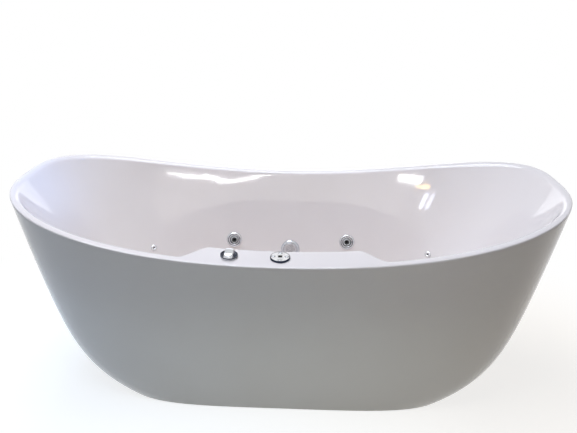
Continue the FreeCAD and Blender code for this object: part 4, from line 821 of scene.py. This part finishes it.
# The sloping edge takes the darker chrome: painted shade.
shown("keypad_edge", spun(KEYPAD_EDGE, keypad_seat, 80), "tub", [painted_shade_chrome], ["keypad_housing"])
half_x, half_y = WINDOW_SIZE[0] / 2 + WINDOW_GAP, WINDOW_SIZE[1] / 2 + WINDOW_GAP
window_outline = [Vector((x * half_x, y * half_y, 0)) for x, y in ((-1, -1), (1, -1), (1, 1), (-1, 1))]
plate_holes = [round_outline(x, y, KEY_HOLE, 32) for x, y in KEY_PLACES.values()] + [window_outline]
plain_piece("keypad_plate", pierced_plate(25.5, 3.2, 2.4, keypad_seat, plate_holes), "tub", satin_chrome)
# A near-black floor under the plate: painted shade in the gaps.
plain_piece("keypad_painted_shade_floor", spun(PAINTED_SHADE_FLOOR, keypad_seat, 32), "tub", painted_shade_black)
for side, (x, y) in KEY_PLACES.items():
    key = spun(BUTTON_SECTION, keypad_seat @ Matrix.Translation((x, y, 0)), 32)
    shown(f"keypad_button_{side}_cap", key, f"keypad_button_{side}", [chrome], [f"keypad_button_{side}"])
window = bmesh.new()
bmesh.ops.create_cube(window, size=1)
window.transform(Matrix.Translation((0, 0, WINDOW_TOP - WINDOW_SIZE[2] / 2)) @ Matrix.Diagonal((*WINDOW_SIZE, 1)))
bmesh.ops.bevel(window, geom=window.edges[:], offset=WINDOW_EDGE, affect="EDGES", segments=3, profile=0.5, material=-1)
window.transform(Matrix.Scale(0.001, 4) @ keypad_seat)
shown("keypad_window_pane", window, "tub", [smoked_window], ["keypad_window"], 60)
print("keys", len(KEY_PLACES))

# %% [markdown]
# ## Waste and overflow
# The drain plug is a plated dome that lifts a little to let the water out. The overflow is a plated ring under the
# deck on the near side, where this camera cannot see it, with a small grille across its mouth. The grille is one more
# pierced plate, and the overflow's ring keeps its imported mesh.

# %% Plug and overflow
PLUG_SECTION = [(0, -48.4), (4.6, -48.4), (5, -48), (5, 3.6), (29.4, 3.6), (30.7, 3.9), (31, 4.6), (31, 5.4),
                (30.4, 6.6), (28.6, 7.6), (25, 8.2), (18, 8.5), (9, 8.6), (0, 8.6)]
MOUTH_HOLE = 2.9
shown("drain_plug_dome", spun(PLUG_SECTION, drain_seat, 72), "drain_plug", [chrome], ["drain_plug"])
mouth_holes = ring_of_holes(6, 8.6, MOUTH_HOLE, 16) + [round_outline(0, 0, MOUTH_HOLE, 16)]
plain_piece("overflow_grille", pierced_plate(13.8, 1.2, 4.2, overflow_seat, mouth_holes), "tub", chrome)
print("holes in the overflow's mouth", len(mouth_holes))

# %% [markdown]
# ## Soft edges on the rest
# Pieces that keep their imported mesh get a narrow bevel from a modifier, so that their edges catch light as real
# sheet steel, castings and moulded plastic do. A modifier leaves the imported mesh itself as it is.

# %% Bevel modifiers
BEVELLED = ("drain_fitting", "overflow_fitting", "air_valve", "control_box", "pump_volute", "pump_seal_plate",
            "pump_motor", "pump_fan_cover", "support_frame", "base_board", "pump_shelf", "control_shelf")
for name in BEVELLED:
    soft_edge = frame["nodes"][name].modifiers.new("soft_edge", "BEVEL")
    soft_edge.width, soft_edge.segments, soft_edge.limit_method = 0.0006, 2, "ANGLE"
    soft_edge.angle_limit = math.radians(40)
print("bevelled pieces", len(BEVELLED))

# %% [markdown]
# ## Floor
# The floor is pale and plain. Around the bath it is lit like anything else, so it keeps the soft shadow. Further
# out it turns to even white for the camera and for reflections, so no horizon shows. Plain white paint would look
# grey next to the white behind it, so where it is seen directly it glows as well. The light that it throws up on the
# apron is tinted, cool at the left and warm at the right, as in the room of the photograph. The glow adds nothing to
# that light, so the apron keeps its shade.

# %% Floor
FLOOR_RADIUS, FLOOR_LIFT = 30, 0.76
FADE_STRETCH, FADE_START, FADE_END = (0.8, 1.5, 1), 0.6, 1.5
FLOOR_COOL, FLOOR_WARM, FLOOR_TINT_REACH = linear("#b3c6d4"), linear("#b6a890"), 1.1


def seen_directly(tree):
    """1 for rays from the camera, off a mirror or through glass, and 0 for those that only carry light."""
    path = add(tree, "ShaderNodeLightPath")
    seen = path.outputs["Is Camera Ray"]
    for kind in ("Is Glossy Ray", "Is Transmission Ray"):
        seen = add(tree, "ShaderNodeMath", {"operation": "MAXIMUM"}, in0=seen, in1=path.outputs[kind]).outputs[0]
    return seen


floor = bpy.data.objects.new("studio_floor", bpy.data.meshes.new("studio_floor"))
bpy.context.scene.collection.objects.link(floor)
sheet = bmesh.new()
bmesh.ops.create_circle(sheet, cap_ends=True, segments=64, radius=FLOOR_RADIUS)
sheet.to_mesh(floor.data)
sheet.free()
floor_paint = bpy.data.materials.new("matt_white_floor")
floor_paint.use_nodes = True
tree = floor_paint.node_tree
tree.nodes.clear()
place = add(tree, "ShaderNodeTexCoord").outputs["Object"]
stretched = add(tree, "ShaderNodeMapping", Vector=place, Scale=FADE_STRETCH)
from_middle = add(tree, "ShaderNodeVectorMath", {"operation": "LENGTH"}, in0=stretched.outputs["Vector"])
fade = add(tree, "ShaderNodeMapRange", {"interpolation_type": "SMOOTHSTEP"}, Value=from_middle.outputs["Value"],
           From_Min=FADE_START, From_Max=FADE_END)
seen = seen_directly(tree)
share = add(tree, "ShaderNodeMath", {"operation": "MULTIPLY"}, in0=seen, in1=fade.outputs["Result"])
across = add(tree, "ShaderNodeMapRange", Value=add(tree, "ShaderNodeSeparateXYZ", Vector=place).outputs["X"],
             From_Min=-FLOOR_TINT_REACH, From_Max=FLOOR_TINT_REACH)
cast = add(tree, "ShaderNodeMix", {"data_type": "RGBA"}, Factor=across.outputs[0])
cast.inputs["A"].default_value, cast.inputs["B"].default_value = FLOOR_COOL, FLOOR_WARM
matt = add(tree, "ShaderNodeBsdfDiffuse", Color=cast.outputs["Result"])
lift = add(tree, "ShaderNodeMath", {"operation": "MULTIPLY"}, in0=seen, in1=FLOOR_LIFT)
glow = add(tree, "ShaderNodeEmission", Color=(1, 1, 1, 1), Strength=lift.outputs[0])
near = add(tree, "ShaderNodeAddShader", in0=matt.outputs[0], in1=glow.outputs[0])
white = add(tree, "ShaderNodeEmission", Color=(1, 1, 1, 1), Strength=1.0)
mixed = add(tree, "ShaderNodeMixShader", in0=share.outputs[0], in1=near.outputs[0], in2=white.outputs[0])
add(tree, "ShaderNodeOutputMaterial", Surface=mixed.outputs[0])
floor.data.materials.append(floor_paint)
print("floor radius", FLOOR_RADIUS, "m")

# %% [markdown]
# ## World
# The world is white where it is seen or mirrored, and dim where it only gives light. A white world that also gave
# light would flatten the bath, so its light is weak, bluish from the left and warm from the right. The lamps do the
# rest.

# %% World
SKY_COOL, SKY_COOL_STRENGTH, SKY_WARM, SKY_WARM_STRENGTH = linear("#a6c8ff"), 0.12, linear("#d8a070"), 0.03
SKY_TINT_REACH = 0.8
world = bpy.data.worlds.new("studio_world")
bpy.context.scene.world = world
world.use_nodes = True
tree = world.node_tree
tree.nodes.clear()
direction = add(tree, "ShaderNodeSeparateXYZ", Vector=add(tree, "ShaderNodeTexCoord").outputs["Generated"])
across = add(tree, "ShaderNodeMapRange", Value=direction.outputs["X"], From_Min=-SKY_TINT_REACH,
             From_Max=SKY_TINT_REACH)
cool = add(tree, "ShaderNodeBackground", Color=SKY_COOL, Strength=SKY_COOL_STRENGTH)
warm = add(tree, "ShaderNodeBackground", Color=SKY_WARM, Strength=SKY_WARM_STRENGTH)
soft = add(tree, "ShaderNodeMixShader", in0=across.outputs[0], in1=cool.outputs[0], in2=warm.outputs[0])
white = add(tree, "ShaderNodeBackground", Color=(1, 1, 1, 1), Strength=1.0)
mixed = add(tree, "ShaderNodeMixShader", in0=seen_directly(tree), in1=soft.outputs[0], in2=white.outputs[0])
add(tree, "ShaderNodeOutputWorld", Surface=mixed.outputs[0])
print("world nodes", len(tree.nodes))

# %% [markdown]
# ## Lamps
# A large soft box hangs above the bath, so the deck and the basin are bright and the apron, which leans under itself,
# stays in soft shade. Weak ones stand in front, behind and at both ends, so the bath reads well from every side, and
# two wash the floor before and behind it. A narrow bluish spot lights the left end as a window would. The acrylic is
# glossy enough to show what stands behind the camera, so a thin strip and a small window of panes are set where its
# far wall mirrors them. Their beams are narrow and add almost no light, so no second image of them shows elsewhere.
# Each lamp is hidden from the camera itself.

# %% Lamps
def soft_box(name, place, target, width, height, power, colour, roll=0.0, spread=180.0):
    """A rectangle of light, in metres and watts, turned about its own beam by the roll."""
    lamp = bpy.data.objects.new(name, bpy.data.lights.new(name, "AREA"))
    bpy.context.scene.collection.objects.link(lamp)
    lamp.data.shape, lamp.data.size, lamp.data.size_y = "RECTANGLE", width, height
    lamp.data.energy, lamp.data.color = power, linear(colour)[:3]
    lamp.data.spread = math.radians(spread)
    lamp.visible_camera = False
    aim = (Vector(target) - Vector(place)).to_track_quat("-Z", "Y")
    turned = Matrix.Rotation(math.radians(roll), 4, "Z")
    lamp.matrix_world = Matrix.Translation(place) @ aim.to_matrix().to_4x4() @ turned


soft_box("top_soft_box", (-0.5, 0.1, 2.9), (0, 0.1, 0.4), 3.0, 1.4, 70, "#edf2ff")
soft_box("front_fill_box", (0.3, -3.4, 1.4), (0, 0, 0.4), 1.4, 1.2, 4.8, "#fff6ea")
soft_box("floor_wash_box", (0.1, -1.5, 0.5), (0.1, -1.5, 0), 1.2, 0.5, 6.0, "#f6fff0")
soft_box("back_fill_box", (0.0, 3.4, 1.2), (0, 0, 0.4), 2.4, 1.2, 11, "#fbfcff")
soft_box("back_wash_box", (0.0, 1.6, 0.5), (0.0, 1.6, 0), 1.8, 0.5, 7, "#fffaf2")
soft_box("left_end_box", (-3.2, 1.1, 0.8), (-0.6, 0, 0.4), 1.2, 0.8, 5, "#fbf8f4")
soft_box("right_end_box", (3.2, 0.9, 0.8), (0.6, 0, 0.4), 1.2, 0.8, 8, "#f6f6ff")
soft_box("left_sky_spot", (1.2, -0.3, 2.4), (-0.86, 0.0, 0.68), 0.3, 0.3, 0.11, "#6fa6ff", spread=9)

NARROW = 16
strip_target, window_target = (-0.32, 0.33, 0.59), (0.50, 0.29, 0.56)
soft_box("strip_light", (-0.07, -3.66, 1.82), strip_target, 0.62, 0.025, 0.014, "#ffffff", 36, NARROW)
soft_box("strip_light_end", (-0.34, -3.73, 1.60), strip_target, 0.24, 0.025, 0.0055, "#ffffff", 61, NARROW)
soft_box("window_pane_high", (-0.30, -3.416, 1.85), window_target, 0.44, 0.07, 0.03, "#ffffff", -24, NARROW)
soft_box("window_pane_sunlit", (-0.60, -3.30, 1.91), window_target, 0.34, 0.03, 0.006, "#ffce70", -24, NARROW)
soft_box("window_pane_low", (-0.82, -3.26, 1.85), window_target, 0.15, 0.17, 0.009, "#e4eaff", -24, NARROW)
soft_box("window_pane_side", (-1.00, -3.17, 1.93), window_target, 0.15, 0.17, 0.006, "#e4eaff", -24, NARROW)
print("lamps", len(bpy.data.lights))

# %% [markdown]
# ## Finish
# The scene is shown with plain sRGB colours: a film-like view would grey the white acrylic.

# %% Finish
bpy.context.scene.view_settings.view_transform = "Standard"
